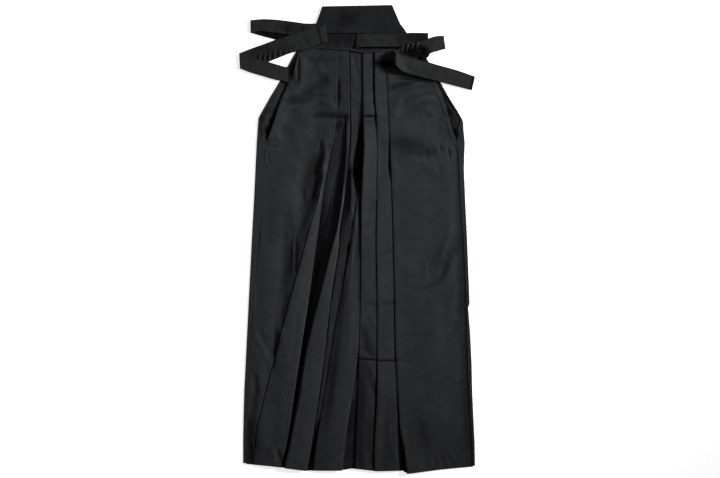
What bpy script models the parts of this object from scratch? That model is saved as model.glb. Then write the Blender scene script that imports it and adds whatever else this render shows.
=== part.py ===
# Hakama trousers laid flat, front up: two pleated front panels on two back panels, the stiff board at
# the back waist, and four ties. X runs across, +Y from hem to waist, +Z up; the underside is z = 0.
# Every cloth wall is worked out in millimetres and made in metres.
import bpy
from collections import namedtuple
from math import cos, pi, sin
from mathutils import Vector

MM = 0.001

# Driving sizes, in millimetres
WAIST_Y = 431.5          # nominal top edge of the front
MIDDLE_Y = 1.25          # middle of the whole length, where the origin is
FRONT_LENGTH = 954.0     # front waist to lowest hem corner
SEAM_GAP = 0.3           # between two pieces that are sewn together
FRONT_WALL = 1.0         # cloth of the front panels
BACK_WALL = 1.2          # cloth of the back panels
PITCH = 1.5              # from one folded layer to the next, wall centre to wall centre
TIE_WALL = 1.8           # ties are several layers sewn flat
BINDING_WALL = 1.0
BINDING_WIDTH = 5.0
BOARD_THICKNESS = 4.0
BOARD_EDGE = 1.0         # bevel round the board's upper face
GUSSET_WALL = 1.0
FOLD_NOSE = 0.6          # how far a fold's round end runs past its straight layers
SIDE_LEVEL = 2.0         # wall centre of the front where it lies on the back panel
MIDDLE_LEVEL = 3.4       # wall centre of the front where it lies over the gussets
MIDDLE_HALF = 62.0       # half width of the stretch at the middle level
MIDDLE_RUN = 40.0        # over which it comes down to the side level

# Where each edge of the front lies across the garment, one row for each height below the waist.
FrontRow = namedtuple("FrontRow", "down side_left wedge1_left wedge1_right wedge2_left wedge2_right "
                                  "wedge3_left wedge3_right centre strip panel side_right")
FRONT_ROWS = [
    FrontRow(0, -126.5, -50, -43, -25, -18.5, -2.5, 4, 11, 38, 67, 131),
    FrontRow(60, -136, -51.5, -45, -25, -18.5, -2.5, 4.3, 11.5, 39, 69.5, 168),
    FrontRow(112, -168, -53, -46.5, -25, -18.5, -2.5, 4.5, 12, 40, 71.5, 193),
    FrontRow(225, -205, -67, -59.5, -24.5, -19, -2.5, 7, 15.5, 47, 75, 226),
    FrontRow(338, -212, -85.5, -77.5, -34, -29, 0, 8.5, 11.5, 45, 79, 232),
    FrontRow(410, -216.5, -107, -87, -45, -40, -10.5, 8.5, 11, 43.5, 81, 237.5),
    FrontRow(450, -219.5, -118.5, -90, -56, -42, -15, 8, 11, 43.5, 82, 240),
    FrontRow(562, -231, -149, -106.5, -86, -59, -36.5, 7, 9.5, 45.5, 84.5, 245),
    FrontRow(675, -239, -177, -125.5, -112, -72, -55.5, 2.5, 5, 45.5, 86.5, 247.5),
    FrontRow(788, -246.5, -205, -142, -129.5, -86.5, -74, -11.5, 1.5, 44.5, 95.5, 252),
    FrontRow(900, -250, -229.5, -158.5, -151, -103.5, -93, -28, -2.5, 39, 103.5, 258.5),
    FrontRow(954, -250, -238, -170.5, -163.5, -113.5, -99.5, -34.5, -5, 38, 111.5, 260.5),
]

# How high each pleat edge stands over the cloth that it lies on.
LiftRow = namedtuple("LiftRow", "down wedge1_left wedge1_right wedge2_left wedge2_right "
                                "wedge3_left wedge3_right centre strip panel")
LIFT_ROWS = [
    LiftRow(0, 3.2, 5.5, 3.2, 5.5, 3.2, 3.2, 5.5, 5.5, 5.5),
    LiftRow(225, 4, 5.5, 6, 7, 4, 4, 8.5, 5.5, 5.5),
    LiftRow(340, 5, 7.5, 7, 8, 6, 6.5, 8.5, 5.5, 5.5),
    LiftRow(560, 5.5, 8, 8, 8, 7.5, 8, 8, 5.5, 5.5),
    LiftRow(790, 6, 7, 7.5, 7.5, 7.5, 8, 8, 5.5, 6),
    LiftRow(954, 5.5, 6.5, 7, 7, 7, 7.5, 8, 5.5, 6.5),
]

# Soft swells of the front cloth, ridge lines from one point to another: across, down, half width, height.
Swell = namedtuple("Swell", "x0 down0 x1 down1 half_width height")
SWELLS = [
    Swell(-118, 150, -160, 420, 24, 2.6),
    Swell(-172, 330, -205, 640, 24, 2.2),
    Swell(-215, 700, -222, 880, 16, 1.6),
    Swell(130, 120, 150, 420, 30, 2.4),
    Swell(200, 250, 205, 520, 24, 2.2),
    Swell(165, 560, 170, 860, 34, 2.4),
    Swell(-130, 30, -146, 76, 15, 3.2),
]

# How the pleats are folded.
OPEN_DEPTH = -4.0        # depth of a pleat where it isn't folded yet
OPEN_RATE = 0.12         # how fast it folds, per millimetre down
FOLD_SHARE = 0.3         # a shallow fold's round ends, as a share of its depth
UNDER_SHARE = 0.4        # how far a loose pleat runs under, as a share of its width
WEDGE1_START = 275.0     # where each loose pleat starts to fold
WEDGE2_START = 150.0
WEDGE3_START = 309.0
TOP_UNDER = 18.0         # how far the first pressed pleat runs under at the waist
TOP_UNDER_FROM = 190.0   # where it starts to draw in, and over what height
TOP_UNDER_RUN = 75.0
STRIP_UNDER = 16.0       # the same for the pressed pleats beside it
STRIP_UNDER_FROM = 60.0
STRIP_UNDER_RUN = 80.0
SLOPE_OUT = 25.0         # over which a panel comes down from a pressed pleat
SLOPE_MIDDLE = 0.55      # what is left of that height halfway
CLEAR_TOP = 36.0         # from the first loose pleat to the flat panel, where it is open
CLEAR_FOLDED = 10.0      # and where it is folded
SEAM_SHARE = 0.45        # where the middle seam lies, as a share of the centre pleat's depth
CROWN_RATE = 0.03        # how much a loose pleat's top swells with its width
CROWN_FROM = 8.0         # from what width on
LEFT_SHARES = (0, 0.12, 0.3, 0.48, 0.66, 0.84, 1)      # points across the left panel
RISE_SHARES = (0.35, 0.7)                              # up to its first loose pleat
STRIP_SHARES = (0.33, 0.62)                            # down a pressed strip
RIGHT_SHARES = (0, 0.2, 0.4, 0.6, 0.78, 0.9, 1)        # across the right panel
BACK_SHARES = (0.35, 0.7)                              # across a back panel

STATIONS = [0, 32, 72, 112, 148, 162, 176, 190, 225, 262, 290, 310, 330, 350, 375, 410, 450, 506, 562, 618, 675,
            731, 788, 844, 900, 954]

# The back panels' outline and the rest of the garment's flat outline, by height below the waist.
BackRow = namedtuple("BackRow", "down left right")
BACK_ROWS = [
    BackRow(-33, -104, 109.5),
    BackRow(-4, -131, 139),
    BackRow(25, -148, 157.5),
    BackRow(81, -177.5, 189.5),
    BackRow(112, -196, 204.5),
    BackRow(160, -222.5, 232.5),
    BackRow(225, -227, 239.5),
    BackRow(338, -232, 241),
    BackRow(450, -238, 245.5),
    BackRow(562, -243.5, 249.5),
    BackRow(675, -249, 253),
    BackRow(788, -254.5, 257.5),
    BackRow(900, -257, 263),
    BackRow(950, -257, 265),
]
BACK_STATIONS = [-33, -4, 25, 81, 112, 136, 160] + [down for down in STATIONS if 160 < down < 950] + [950]
TURN_MIN = 3.4           # least width of the back's edge that turns up over the front
TURN_NOSE = 0.9          # how far its round end runs past its straight layers
TURN_SLOPE = 0.42        # how fast that edge widens below the side slit
SLIT_FOOT = 160.0        # where it starts to widen

# Edges that aren't level: how far the top and the hem lie from their nominal heights.
TOP_EDGE = [(-150, 0), (-127, -6), (-88, 2.5), (-43, -1), (-16, -2), (11, -7), (62.5, -4.5), (85, -1.5), (132.5, 0)]
HEM_EDGE = [(-257, 19), (-191.5, 13.5), (-115, 3.5), (-34, 4), (-18.5, 8.5), (-0.5, 7.5), (42.5, 2.5),
            (103, 3.5), (112, -3), (128, -1.5), (186.5, 5.5), (265, 13)]
BACK_HEM_RISE = 4.0      # the back hem lies a little above the front's

GussetRow = namedtuple("GussetRow", "down inner outer")
GUSSET_ROWS = [GussetRow(430, 1, 16), GussetRow(690, 1, 38), GussetRow(936, 1, 58)]
GUSSET_FLOOR = 1.5

BOARD_OUTLINE = [(-101, 465.3), (104.5, 465.3), (98.5, 481.5), (78.5, 528), (-78.5, 525)]

# Ties: runs of sections, each section a line from the upper edge (a) to the lower edge (b) of the band.
# Between two runs the band turns over on itself.
Band = namedtuple("Band", "ax ay az bx by bz")
BACK_TIE_LEFT = [
    [Band(-94, 486, 2.4, -113.5, 454.5, 4),
     Band(-117.5, 486.5, 3.6, -133, 456.5, 4),
     Band(-146.5, 490.5, 3.6, -155.5, 461, 3.6),
     Band(-185, 495, 3.5, -185, 464.5, 3.5),
     Band(-214, 496, 3.5, -214, 468, 3.5),
     Band(-238, 494, 3.4, -238, 465, 3.4)],
    [Band(-238, 494, 1.1, -238, 465, 1.1),
     Band(-214, 488, 1.1, -214, 458, 1.1),
     Band(-185, 480, 1.1, -185, 450.5, 1.1),
     Band(-156, 472.5, 1.1, -157, 443.5, 1.1)],
]
FRONT_TIE_LEFT = [
    [Band(-124, 403, 2.4, -141.5, 350.5, 2.4),
     Band(-139.5, 396, 2.7, -151, 351.5, 2.7),
     Band(-157, 388.5, 4.3, -164.5, 355.5, 4.3),
     Band(-180.5, 394, 4.4, -185, 359.5, 4.4),
     Band(-209, 403, 4.1, -214, 368, 4.1),
     Band(-240.5, 412, 3.9, -241, 376, 3.9),
     Band(-263, 419.5, 3.8, -261.5, 384, 3.8)],
    [Band(-263, 420.5, 1.2, -261.5, 384.5, 1.2),
     Band(-236.5, 431, 1.2, -234.5, 389, 1.2),
     Band(-205, 442, 1.5, -200.5, 400, 1.5),
     Band(-180.5, 451, 3.4, -171.5, 411, 2.6),
     Band(-158.5, 458, 6, -147.5, 420, 5.2),
     Band(-124, 469, 6.6, -115, 427.5, 6.2),
     Band(-92.5, 477.5, 6.4, -82.5, 439.5, 6.2),
     Band(-71.5, 484.5, 6, -66, 444, 5.9)],
]
BACK_TIE_RIGHT = [
    [Band(99.4, 481, 3, 105.6, 465.5, 3.9),
     Band(111, 464.5, 4.1, 121, 436.5, 4.1),
     Band(132.5, 464, 4.1, 137, 436.5, 4.1),
     Band(157.5, 464, 4, 157.5, 435.5, 4)],
    [Band(157.5, 464.5, 6.6, 157.5, 434, 6.6),
     Band(132.5, 465, 6.8, 132.5, 433, 6.8),
     Band(105.5, 466, 7.6, 105.5, 432.5, 7.6),
     Band(69.5, 466.5, 7.9, 69.5, 432.5, 7.9),
     Band(29, 466.5, 7.9, 29, 432.5, 7.9),
     Band(-2, 466, 7.9, -2, 431.5, 7.9)],
    [Band(-2, 466, 5.3, -2, 431.5, 5.3),
     Band(24.5, 465.5, 5.3, 24.5, 433, 5.3),
     Band(60.5, 464.5, 5.3, 60.5, 434, 5.3)],
]
FRONT_TIE_RIGHT = [
    [Band(133, 424.5, 3.8, 147, 400.5, 3.8),
     Band(147, 430, 4.2, 160, 411.5, 4.1),
     Band(163, 432, 4.4, 165, 419, 4.2),
     Band(178.5, 443.5, 5, 180.5, 424, 5),
     Band(192, 456.5, 5.2, 196, 428, 5.2)],
    [Band(192, 458, 8.6, 196, 428, 8.6),
     Band(174.5, 456.5, 9.0, 182, 424.5, 8.8),
     Band(156.5, 450.5, 9.6, 164, 419.5, 9.2),
     Band(137, 444, 10.6, 143.5, 413, 9.6),
     Band(119, 439, 12, 123.5, 407, 10),
     Band(102, 433, 12.4, 104, 400.5, 10.4),
     Band(88, 426, 11.6, 88, 394, 10.8)],
    [Band(88, 420, 22.5, 88, 388.5, 20.5),
     Band(97.5, 414, 22, 97.5, 379.5, 19.5),
     Band(114.5, 409.5, 19.5, 114.5, 372, 17),
     Band(137, 404, 16.5, 132.5, 367.5, 14),
     Band(162, 398, 13, 157, 361.5, 11),
     Band(186.5, 391, 9.6, 182, 355, 8.2),
     Band(222.5, 381.5, 5.8, 218, 346, 5),
     Band(265, 367, 2.6, 258, 336, 2.2)],
]
SHARP_ANGLE = 0.6        # radians between two faces from which their edge stays sharp
TURN_STEPS = 6           # sections round a turn of a tie
RUN_STEPS = 2            # sections for each row of a run


def lerp(a, b, t):
    return a + (b - a) * t


def smooth(t):
    t = min(max(t, 0.0), 1.0)
    return t * t * (3 - 2 * t)


def cubic(a, b, c, d, t):
    # Catmull-Rom value between b and c.
    return 0.5 * (2 * b + (c - a) * t + (2 * a - 5 * b + 4 * c - d) * t * t
                  + (3 * b - a - 3 * c + d) * t ** 3)


def read_rows(rows, column, down, curved=True):
    # Value of one column of a table at a height between its rows.
    for i in range(len(rows) - 1):
        if down <= rows[i + 1].down or i == len(rows) - 2:
            break
    low, high = rows[i], rows[i + 1]
    gap = high.down - low.down
    t = (down - low.down) / gap
    start, end = getattr(low, column), getattr(high, column)
    if not curved:
        return lerp(start, end, t)
    lean_start = lean(rows, column, i) * gap
    lean_end = lean(rows, column, i + 1) * gap
    return (start * (1 + 2 * t) * (1 - t) ** 2 + lean_start * t * (1 - t) ** 2
            + end * t * t * (3 - 2 * t) - lean_end * t * t * (1 - t))


def lean(rows, column, i):
    # How fast a column changes at a row.
    before, after = rows[max(i - 1, 0)], rows[min(i + 1, len(rows) - 1)]
    return (getattr(after, column) - getattr(before, column)) / (after.down - before.down)


def read_edge(points, x):
    # Height of an edge given as (across, height) points.
    if x <= points[0][0]:
        return points[0][1]
    for (x0, h0), (x1, h1) in zip(points, points[1:]):
        if x <= x1:
            return lerp(h0, h1, (x - x0) / (x1 - x0))
    return points[-1][1]


def ground(x, down):
    # Level of the front's lowest layer: on the back panel, over the gussets, and on its own soft swells.
    level = lerp(MIDDLE_LEVEL, SIDE_LEVEL, smooth((abs(x) - MIDDLE_HALF) / MIDDLE_RUN))
    for s in SWELLS:
        run = Vector((s.x1 - s.x0, s.down1 - s.down0))
        away = Vector((x - s.x0, down - s.down0))
        along = min(max(away.dot(run) / run.dot(run), 0.0), 1.0)
        distance = (away - run * along).length / s.half_width
        level += s.height * smooth(1 - distance * 0.5)
    return level


def how_shut(depth):
    # 0 where a pleat isn't folded yet, 1 from where its cloth starts to run under.
    return min(max(1 - depth / OPEN_DEPTH, 0.0), 1.0)


def facing_left(edge, depth, lift, opened=(0.0, 0.0)):
    # Six points of one pleat whose edge faces left, from the low layer to the high one. depth is how
    # far it runs under; below zero it is open, at the two heights of the slope that it lies on.
    hidden = edge + depth
    share = min(FOLD_SHARE * depth, FOLD_NOSE)
    z0 = lerp(opened[0], 0.0, how_shut(depth))
    z1 = lerp(opened[1], lift, how_shut(depth))
    pitch = min(PITCH, 0.45 * max(z1 - z0, 0.0))
    return [(hidden - FOLD_NOSE, z0), (hidden, z0 + 0.5 * pitch), (hidden - share, z0 + pitch),
            (edge + share, z1 - pitch), (edge, z1 - 0.5 * pitch), (edge + FOLD_NOSE, z1)]


def facing_right(edge, depth, lift):
    return [(-x, z) for x, z in reversed(facing_left(-edge, depth, lift))]


def under(width):
    # How far the edges of a loose pleat run under it, short of meeting in the middle.
    return min(UNDER_SHARE * width, 0.5 * (width - 1.8 * FRONT_WALL))


def loose_depth(width, start, down):
    return min(under(width), OPEN_DEPTH + max(0.0, down - start) * OPEN_RATE)


def at(row_table, down):
    return {name: read_rows(row_table, name, down) for name in row_table[0]._fields if name != "down"}


def left_front_path(down):
    # Wall centre of the left front across the garment, heights over the ground level.
    x = at(FRONT_ROWS, down)
    h = at(LIFT_ROWS, down)
    width1 = x["wedge1_right"] - x["wedge1_left"]
    width2 = x["wedge2_right"] - x["wedge2_left"]
    width3 = x["wedge3_right"] - x["wedge3_left"]
    depth1 = loose_depth(width1, WEDGE1_START, down)
    depth2 = loose_depth(width2, WEDGE2_START, down)
    depth3 = loose_depth(width3, WEDGE3_START, down)
    under1 = lerp(TOP_UNDER, under(width1), smooth((down - TOP_UNDER_FROM) / TOP_UNDER_RUN))
    under2 = lerp(STRIP_UNDER, under(width2), smooth((down - STRIP_UNDER_FROM) / STRIP_UNDER_RUN))

    # The slope that the left panel has above its first loose pleat.
    shut = smooth(0.5 - 0.5 * depth1 / OPEN_DEPTH)
    panel_end = x["wedge1_left"] - lerp(CLEAR_TOP, CLEAR_FOLDED, shut)
    rise1 = h["wedge1_right"] / (x["wedge1_right"] - panel_end)
    open1 = [rise1 * (x["wedge1_left"] + d - panel_end) for d in (OPEN_DEPTH, 0)]

    # The slope of the strip between the first two pleats.
    strip_start = x["wedge1_right"] - under1
    rise2 = h["wedge2_right"] / (x["wedge2_right"] - strip_start)
    open2 = [rise2 * (x["wedge2_left"] + d - strip_start) for d in (OPEN_DEPTH, 0)]

    path = [(lerp(x["side_left"], panel_end, t), 0.0) for t in LEFT_SHARES]
    for t in RISE_SHARES:
        across = lerp(panel_end, x["wedge1_left"] + OPEN_DEPTH, t)
        path.append((across, rise1 * (across - panel_end) * (1 - how_shut(depth1))))
    path += facing_left(x["wedge1_left"], depth1, h["wedge1_left"], open1)
    path += crown(x["wedge1_left"], x["wedge1_right"], path[-1][1], h["wedge1_right"])
    path += facing_right(x["wedge1_right"], under1, h["wedge1_right"])
    path += facing_left(x["wedge2_left"], depth2, h["wedge2_left"], open2)
    path += crown(x["wedge2_left"], x["wedge2_right"], path[-1][1], h["wedge2_right"])
    path += facing_right(x["wedge2_right"], under2, h["wedge2_right"])
    path += facing_left(x["wedge3_left"], depth3, h["wedge3_left"])
    path += crown(x["wedge3_left"], x["wedge3_right"], path[-1][1], h["wedge3_right"])
    path += facing_right(x["wedge3_right"], depth3, h["wedge3_right"])
    path.append((middle_seam(x) - 0.5 * SEAM_GAP, 0.0))
    return path


def crown(left, right, left_lift, right_lift):
    # The middle of a pleat's top, a little above its edges.
    width = right - left
    swell = CROWN_RATE * max(0.0, width - CROWN_FROM)
    return [((left + right) / 2, (left_lift + right_lift) / 2 + swell)]


def middle_seam(x):
    return x["centre"] + SEAM_SHARE * STRIP_UNDER


def right_front_path(down):
    x = at(FRONT_ROWS, down)
    h = at(LIFT_ROWS, down)
    path = [(middle_seam(x) + 0.5 * SEAM_GAP, 0.0)]
    path += facing_left(x["centre"], STRIP_UNDER, h["centre"])
    path += slope(x["centre"], x["strip"] + STRIP_UNDER, h["centre"])
    path += facing_left(x["strip"], STRIP_UNDER, h["strip"])
    path += slope(x["strip"], x["panel"] + STRIP_UNDER, h["strip"])
    path += facing_left(x["panel"], STRIP_UNDER, h["panel"])
    end = x["panel"] + 2 * SLOPE_OUT
    path.append((x["panel"] + SLOPE_OUT, SLOPE_MIDDLE * h["panel"]))
    path += [(lerp(end, x["side_right"], t), 0.0) for t in RIGHT_SHARES]
    return path


def slope(left, right, lift):
    # Two points down the slope of a strip that runs in under the next one.
    return [(lerp(left, right, t), lift * (1 - t)) for t in STRIP_SHARES]


def front_y(x, down):
    t = down / FRONT_LENGTH
    return WAIST_Y - down + lerp(read_edge(TOP_EDGE, x), read_edge(HEM_EDGE, x), t)


def wall_of(path, wall):
    # Points of both faces of a wall along a path in the upright plane.
    upper = []
    lower = []
    last = len(path) - 1
    for i, (x, z) in enumerate(path):
        before = path[max(i - 1, 0)]
        after = path[min(i + 1, last)]
        a = Vector((x - before[0], z - before[1])) if i > 0 else None
        b = Vector((after[0] - x, after[1] - z)) if i < last else None
        a = (a or b).normalized()
        b = (b or a).normalized()
        along = (a + b).normalized()
        reach = 0.5 * wall / max(along.dot(a), 0.5)
        upper.append((x - along.y * reach, z + along.x * reach))
        lower.append((x + along.y * reach, z - along.x * reach))
    return upper, lower


def make_object(name, points, faces, colour, roughness):
    mesh = bpy.data.meshes.new(name)
    mesh.from_pydata([(x * MM, (y - MIDDLE_Y) * MM, z * MM) for x, y, z in points], [], faces)
    mesh.update()
    mesh.shade_smooth()
    mesh.set_sharp_from_angle(angle=SHARP_ANGLE)
    material = bpy.data.materials.new(name + "_cloth")
    material.use_nodes = True
    shader = material.node_tree.nodes["Principled BSDF"]
    shader.inputs["Base Color"].default_value = (*colour, 1.0)
    shader.inputs["Roughness"].default_value = roughness
    shader.inputs["Metallic"].default_value = 0.0
    mesh.materials.append(material)
    obj = bpy.data.objects.new(name, mesh)
    bpy.context.scene.collection.objects.link(obj)
    return obj


def loft(name, loops, colour, roughness):
    # A closed body through loops of equal length, with flat ends.
    count = len(loops[0])
    points = [p for loop in loops for p in loop]
    faces = []
    for i in range(len(loops) - 1):
        for j in range(count):
            k = (j + 1) % count
            faces.append((i * count + j, i * count + k, (i + 1) * count + k, (i + 1) * count + j))
    half = count // 2
    last = (len(loops) - 1) * count
    for j in range(half - 1):
        far = count - 1 - j
        faces.append((far, far - 1, j + 1, j))
        faces.append((last + j, last + j + 1, last + far - 1, last + far))
    return make_object(name, points, faces, colour, roughness)


def front_panel(name, path_at, colour, roughness):
    loops = []
    for down in STATIONS:
        path = [(x, z + ground(x, down)) for x, z in path_at(down)]
        upper, lower = wall_of(path, FRONT_WALL)
        ring = lower + upper[::-1]
        loops.append([(x, front_y(x, down), z) for x, z in ring])
    return loft(name, loops, colour, roughness)


def back_panel(name, side, colour, roughness):
    # side is -1 for the left panel and 1 for the right one, which is worked out mirrored.
    column = "left" if side < 0 else "right"
    front_column = "side_left" if side < 0 else "side_right"
    level = 0.5 * BACK_WALL
    loops = []
    for down in BACK_STATIONS:
        outline = abs(read_rows(BACK_ROWS, column, down, curved=False)) - 0.5 * BACK_WALL
        front = abs(read_rows(FRONT_ROWS, front_column, max(down, 0)))
        turn = TURN_MIN + TURN_SLOPE * max(0.0, down - SLIT_FOOT)
        turn = min(turn, max(outline - front - SEAM_GAP, TURN_MIN - 1))
        path = [(0.5 * SEAM_GAP, level)] + [(outline * t, level) for t in BACK_SHARES]
        path += [(outline - TURN_NOSE, level), (outline, level + 0.5 * PITCH),
                 (outline - TURN_NOSE, level + PITCH), (outline - turn, level + PITCH)]
        upper, lower = wall_of(path, BACK_WALL)
        ring = lower + upper[::-1]
        loops.append([(side * x, back_y(side * x, down), z) for x, z in ring])
    if side < 0:
        loops = loops[::-1]
    return loft(name, loops, colour, roughness)


def back_y(x, down):
    t = max(down, 0.0) / FRONT_LENGTH
    return WAIST_Y - down + read_edge(HEM_EDGE, x) * t + BACK_HEM_RISE * t ** 6


def gusset(name, side, colour, roughness):
    loops = []
    for row in GUSSET_ROWS:
        y = WAIST_Y - row.down
        z0, z1 = GUSSET_FLOOR, GUSSET_FLOOR + GUSSET_WALL
        loops.append([(side * row.inner, y, z0), (side * row.outer, y, z0),
                      (side * row.outer, y, z1), (side * row.inner, y, z1)])
    if side < 0:
        loops = loops[::-1]
    return loft(name, loops, colour, roughness)


def board(name, colour, roughness):
    # The stiff waist board: the outline, its top edge bevelled.
    middle = Vector((0.0, 495.0))      # a point well inside the outline
    inset = []
    for x, y in BOARD_OUTLINE:
        inwards = (middle - Vector((x, y))).normalized() * (BOARD_EDGE * 1.4)
        inset.append((x + inwards.x, y + inwards.y))
    count = len(BOARD_OUTLINE)
    points = [(x, y, 0.0) for x, y in BOARD_OUTLINE]
    points += [(x, y, BOARD_THICKNESS - BOARD_EDGE) for x, y in BOARD_OUTLINE]
    points += [(x, y, BOARD_THICKNESS) for x, y in inset]
    faces = [tuple(range(count))[::-1], tuple(range(2 * count, 3 * count))]
    for ring in range(2):
        for j in range(count):
            k = (j + 1) % count
            faces.append((ring * count + j, ring * count + k,
                          (ring + 1) * count + k, (ring + 1) * count + j))
    return make_object(name, points, faces, colour, roughness)


def run_sections(rows):
    # A run's sections, read along smooth curves through its rows.
    sections = []
    last = len(rows) - 1
    for i in range(last):
        four = [rows[max(i - 1, 0)], rows[i], rows[i + 1], rows[min(i + 2, last)]]
        for step in range(RUN_STEPS):
            t = step / RUN_STEPS
            sections.append([cubic(*values, t) for values in zip(*four)])
    sections.append(list(rows[last]))
    return sections


def tie_sections(runs):
    sections = []
    for i, rows in enumerate(runs):
        run = run_sections(rows)
        if i > 0:
            sections += turn_sections(sections[-2], sections[-1], run[0])
        sections += run
    return sections


def turn_sections(before, start, end):
    # Half a circle from the last section of one run to the first of the next.
    travel = 1.0 if start[0] > before[0] else -1.0
    turned = []
    for step in range(1, TURN_STEPS):
        angle = pi * step / TURN_STEPS
        t = (1 - cos(angle)) / 2
        section = [lerp(s, e, t) for s, e in zip(start, end)]
        radius_a = abs(end[2] - start[2]) / 2
        radius_b = abs(end[5] - start[5]) / 2
        section[0] += travel * radius_a * sin(angle)
        section[3] += travel * radius_b * sin(angle)
        turned.append(section)
    return turned


def band(name, sections, wall, colour, roughness):
    # A flat band through sections, each with its two edges, made a wall along its own normals.
    loops = []
    last = len(sections) - 1
    for i, s in enumerate(sections):
        a, b = Vector(s[:3]), Vector(s[3:])
        before, after = sections[max(i - 1, 0)], sections[min(i + 1, last)]
        travel = (Vector(after[:3]) + Vector(after[3:])) - (Vector(before[:3]) + Vector(before[3:]))
        normal = travel.cross(b - a).normalized() * (0.5 * wall)
        loops.append([a - normal, b - normal, b + normal, a + normal])
    return loft(name, [[tuple(p) for p in loop] for loop in loops], colour, roughness)


def binding_sections():
    # The narrow edge follows the tops of the pleats at the waist.
    x = at(FRONT_ROWS, 0)
    h = at(LIFT_ROWS, 0)
    rest = 0.5 * FRONT_WALL + SEAM_GAP + 0.5 * BINDING_WALL
    stops = [(x["side_left"] + 0.6, 0.0), (-108.0, 0.0), (x["wedge1_right"] - TOP_UNDER - SLOPE_OUT, 0.2),
             (-MIDDLE_HALF, 0.6 * h["wedge1_right"]),
             (x["wedge1_right"], h["wedge1_right"] + 0.1), (x["wedge2_right"], h["wedge2_right"] + 0.1),
             (x["centre"], h["centre"] + 0.1), (x["strip"], h["strip"] + 0.1),
             (x["panel"], h["panel"] + 0.1), (x["panel"] + SLOPE_OUT, 0.6 * h["panel"]),
             (x["panel"] + 2 * SLOPE_OUT, 0.2), (x["side_right"] - 0.6, 0.0)]
    sections = []
    for across, lift in stops:
        y = front_y(across, 0.0)
        z = ground(across, 0.0) + lift + rest
        rise = (ground(across, STATIONS[1]) - ground(across, 0.0)) * BINDING_WIDTH / STATIONS[1]
        sections.append([across, y + 0.4, z, across, y + 0.4 - BINDING_WIDTH, z + max(rise, 0.0)])
    return sections


def main():
    for obj in list(bpy.data.objects):
        bpy.data.objects.remove(obj, do_unlink=True)

    charcoal = (0.030, 0.031, 0.034)
    shaded = (0.020, 0.021, 0.023)
    board_black = (0.024, 0.024, 0.026)
    tie_black = (0.030, 0.030, 0.029)

    front_panel("front_left", left_front_path, charcoal, 0.62)
    front_panel("front_right", right_front_path, charcoal, 0.62)
    back_panel("back_left", -1, shaded, 0.7)
    back_panel("back_right", 1, shaded, 0.7)
    gusset("gusset_left", -1, shaded, 0.7)
    gusset("gusset_right", 1, shaded, 0.7)
    band("waist_binding", binding_sections(), BINDING_WALL, charcoal, 0.6)
    board("koshi_ita", board_black, 0.75)
    band("back_strap_left", tie_sections(BACK_TIE_LEFT), TIE_WALL, tie_black, 0.65)
    band("front_strap_left", tie_sections(FRONT_TIE_LEFT), TIE_WALL, tie_black, 0.65)
    band("back_strap_right", tie_sections(BACK_TIE_RIGHT), TIE_WALL, tie_black, 0.65)
    band("front_strap_right", tie_sections(FRONT_TIE_RIGHT), TIE_WALL, tie_black, 0.65)


main()
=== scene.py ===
from math import cos, pi, radians, sin, sqrt

import bpy
import numpy as np
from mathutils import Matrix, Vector, noise


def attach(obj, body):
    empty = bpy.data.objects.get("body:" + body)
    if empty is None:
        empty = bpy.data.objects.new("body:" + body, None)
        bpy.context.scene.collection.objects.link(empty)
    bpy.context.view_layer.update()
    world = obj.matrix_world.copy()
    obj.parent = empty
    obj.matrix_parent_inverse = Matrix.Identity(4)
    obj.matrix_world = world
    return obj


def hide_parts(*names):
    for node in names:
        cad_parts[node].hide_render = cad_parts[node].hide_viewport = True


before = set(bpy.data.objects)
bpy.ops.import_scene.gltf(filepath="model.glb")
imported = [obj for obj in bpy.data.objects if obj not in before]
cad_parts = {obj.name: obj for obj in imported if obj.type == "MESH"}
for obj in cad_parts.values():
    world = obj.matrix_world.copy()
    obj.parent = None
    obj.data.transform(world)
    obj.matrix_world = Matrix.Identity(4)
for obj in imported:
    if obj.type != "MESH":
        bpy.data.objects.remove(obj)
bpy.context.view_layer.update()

# Black pleated hakama laid flat, front up. All sizes below are in millimetres, across (x), down from the
# front waist (down) and up (z); a mesh is turned to metres when it is made.
mm = 0.001
waistY = 431.5            # height of the front waist over the middle of the garment, before middleY
middleY = 1.25
frontLength = 954.0


def lerp(a, b, t):
    return a + (b - a) * t


def smooth(t):
    t = np.clip(t, 0.0, 1.0)
    return t * t * (3 - 2 * t)


def bell(away, reach):
    return np.exp(-(away / reach) ** 2)


# Camera, lights and floor, in metres and degrees.
studio = {
    "cameraHeight": 3.2, "seenWidth": 1.62, "centre": (0.0063, 0.0005),
    # each light: azimuth, elevation, distance, size, watts, spread, what it points at
    "keyLight": (18, 24, 4.6, 0.95, 13.5, 30, (-0.7, 0.02, 0.0)),
    "fillLight": (150, 60, 3.0, 2.0, 5.5, 180, (0, 0, 0)),
    "skyStrength": 0.075,
    "floorSize": 60, "floorDrop": 0.0003, "floorColour": "#f7f7f6", "floorGlow": 0.72,
    "floorGrain": 900.0, "floorRelief": 0.0002,
}


def linear(hexColour):
    # sRGB hex to the linear values that a shader takes
    parts = [int(hexColour[i:i + 2], 16) / 255 for i in (1, 3, 5)]
    return [c / 12.92 if c <= 0.04045 else ((c + 0.055) / 1.055) ** 2.4 for c in parts] + [1]


def setNode(tree, node, settings):
    # its own settings, and its inputs by name or number, each a value or another node's output
    for key, value in settings.items():
        if isinstance(value, bpy.types.NodeSocket):
            tree.links.new(value, node.inputs[key])
        elif isinstance(key, str) and hasattr(node, key):
            setattr(node, key, value)
        else:
            node.inputs[key].default_value = value


def addNode(tree, kind, output, settings):
    node = tree.nodes.new(kind)
    setNode(tree, node, settings)
    return node.outputs[output]


def addNoise(tree, place, scale, detail, roughness=0.5):
    return addNode(tree, "ShaderNodeTexNoise", "Fac",
                   {"Vector": place, "Scale": scale, "Detail": detail, "Roughness": roughness})


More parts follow.
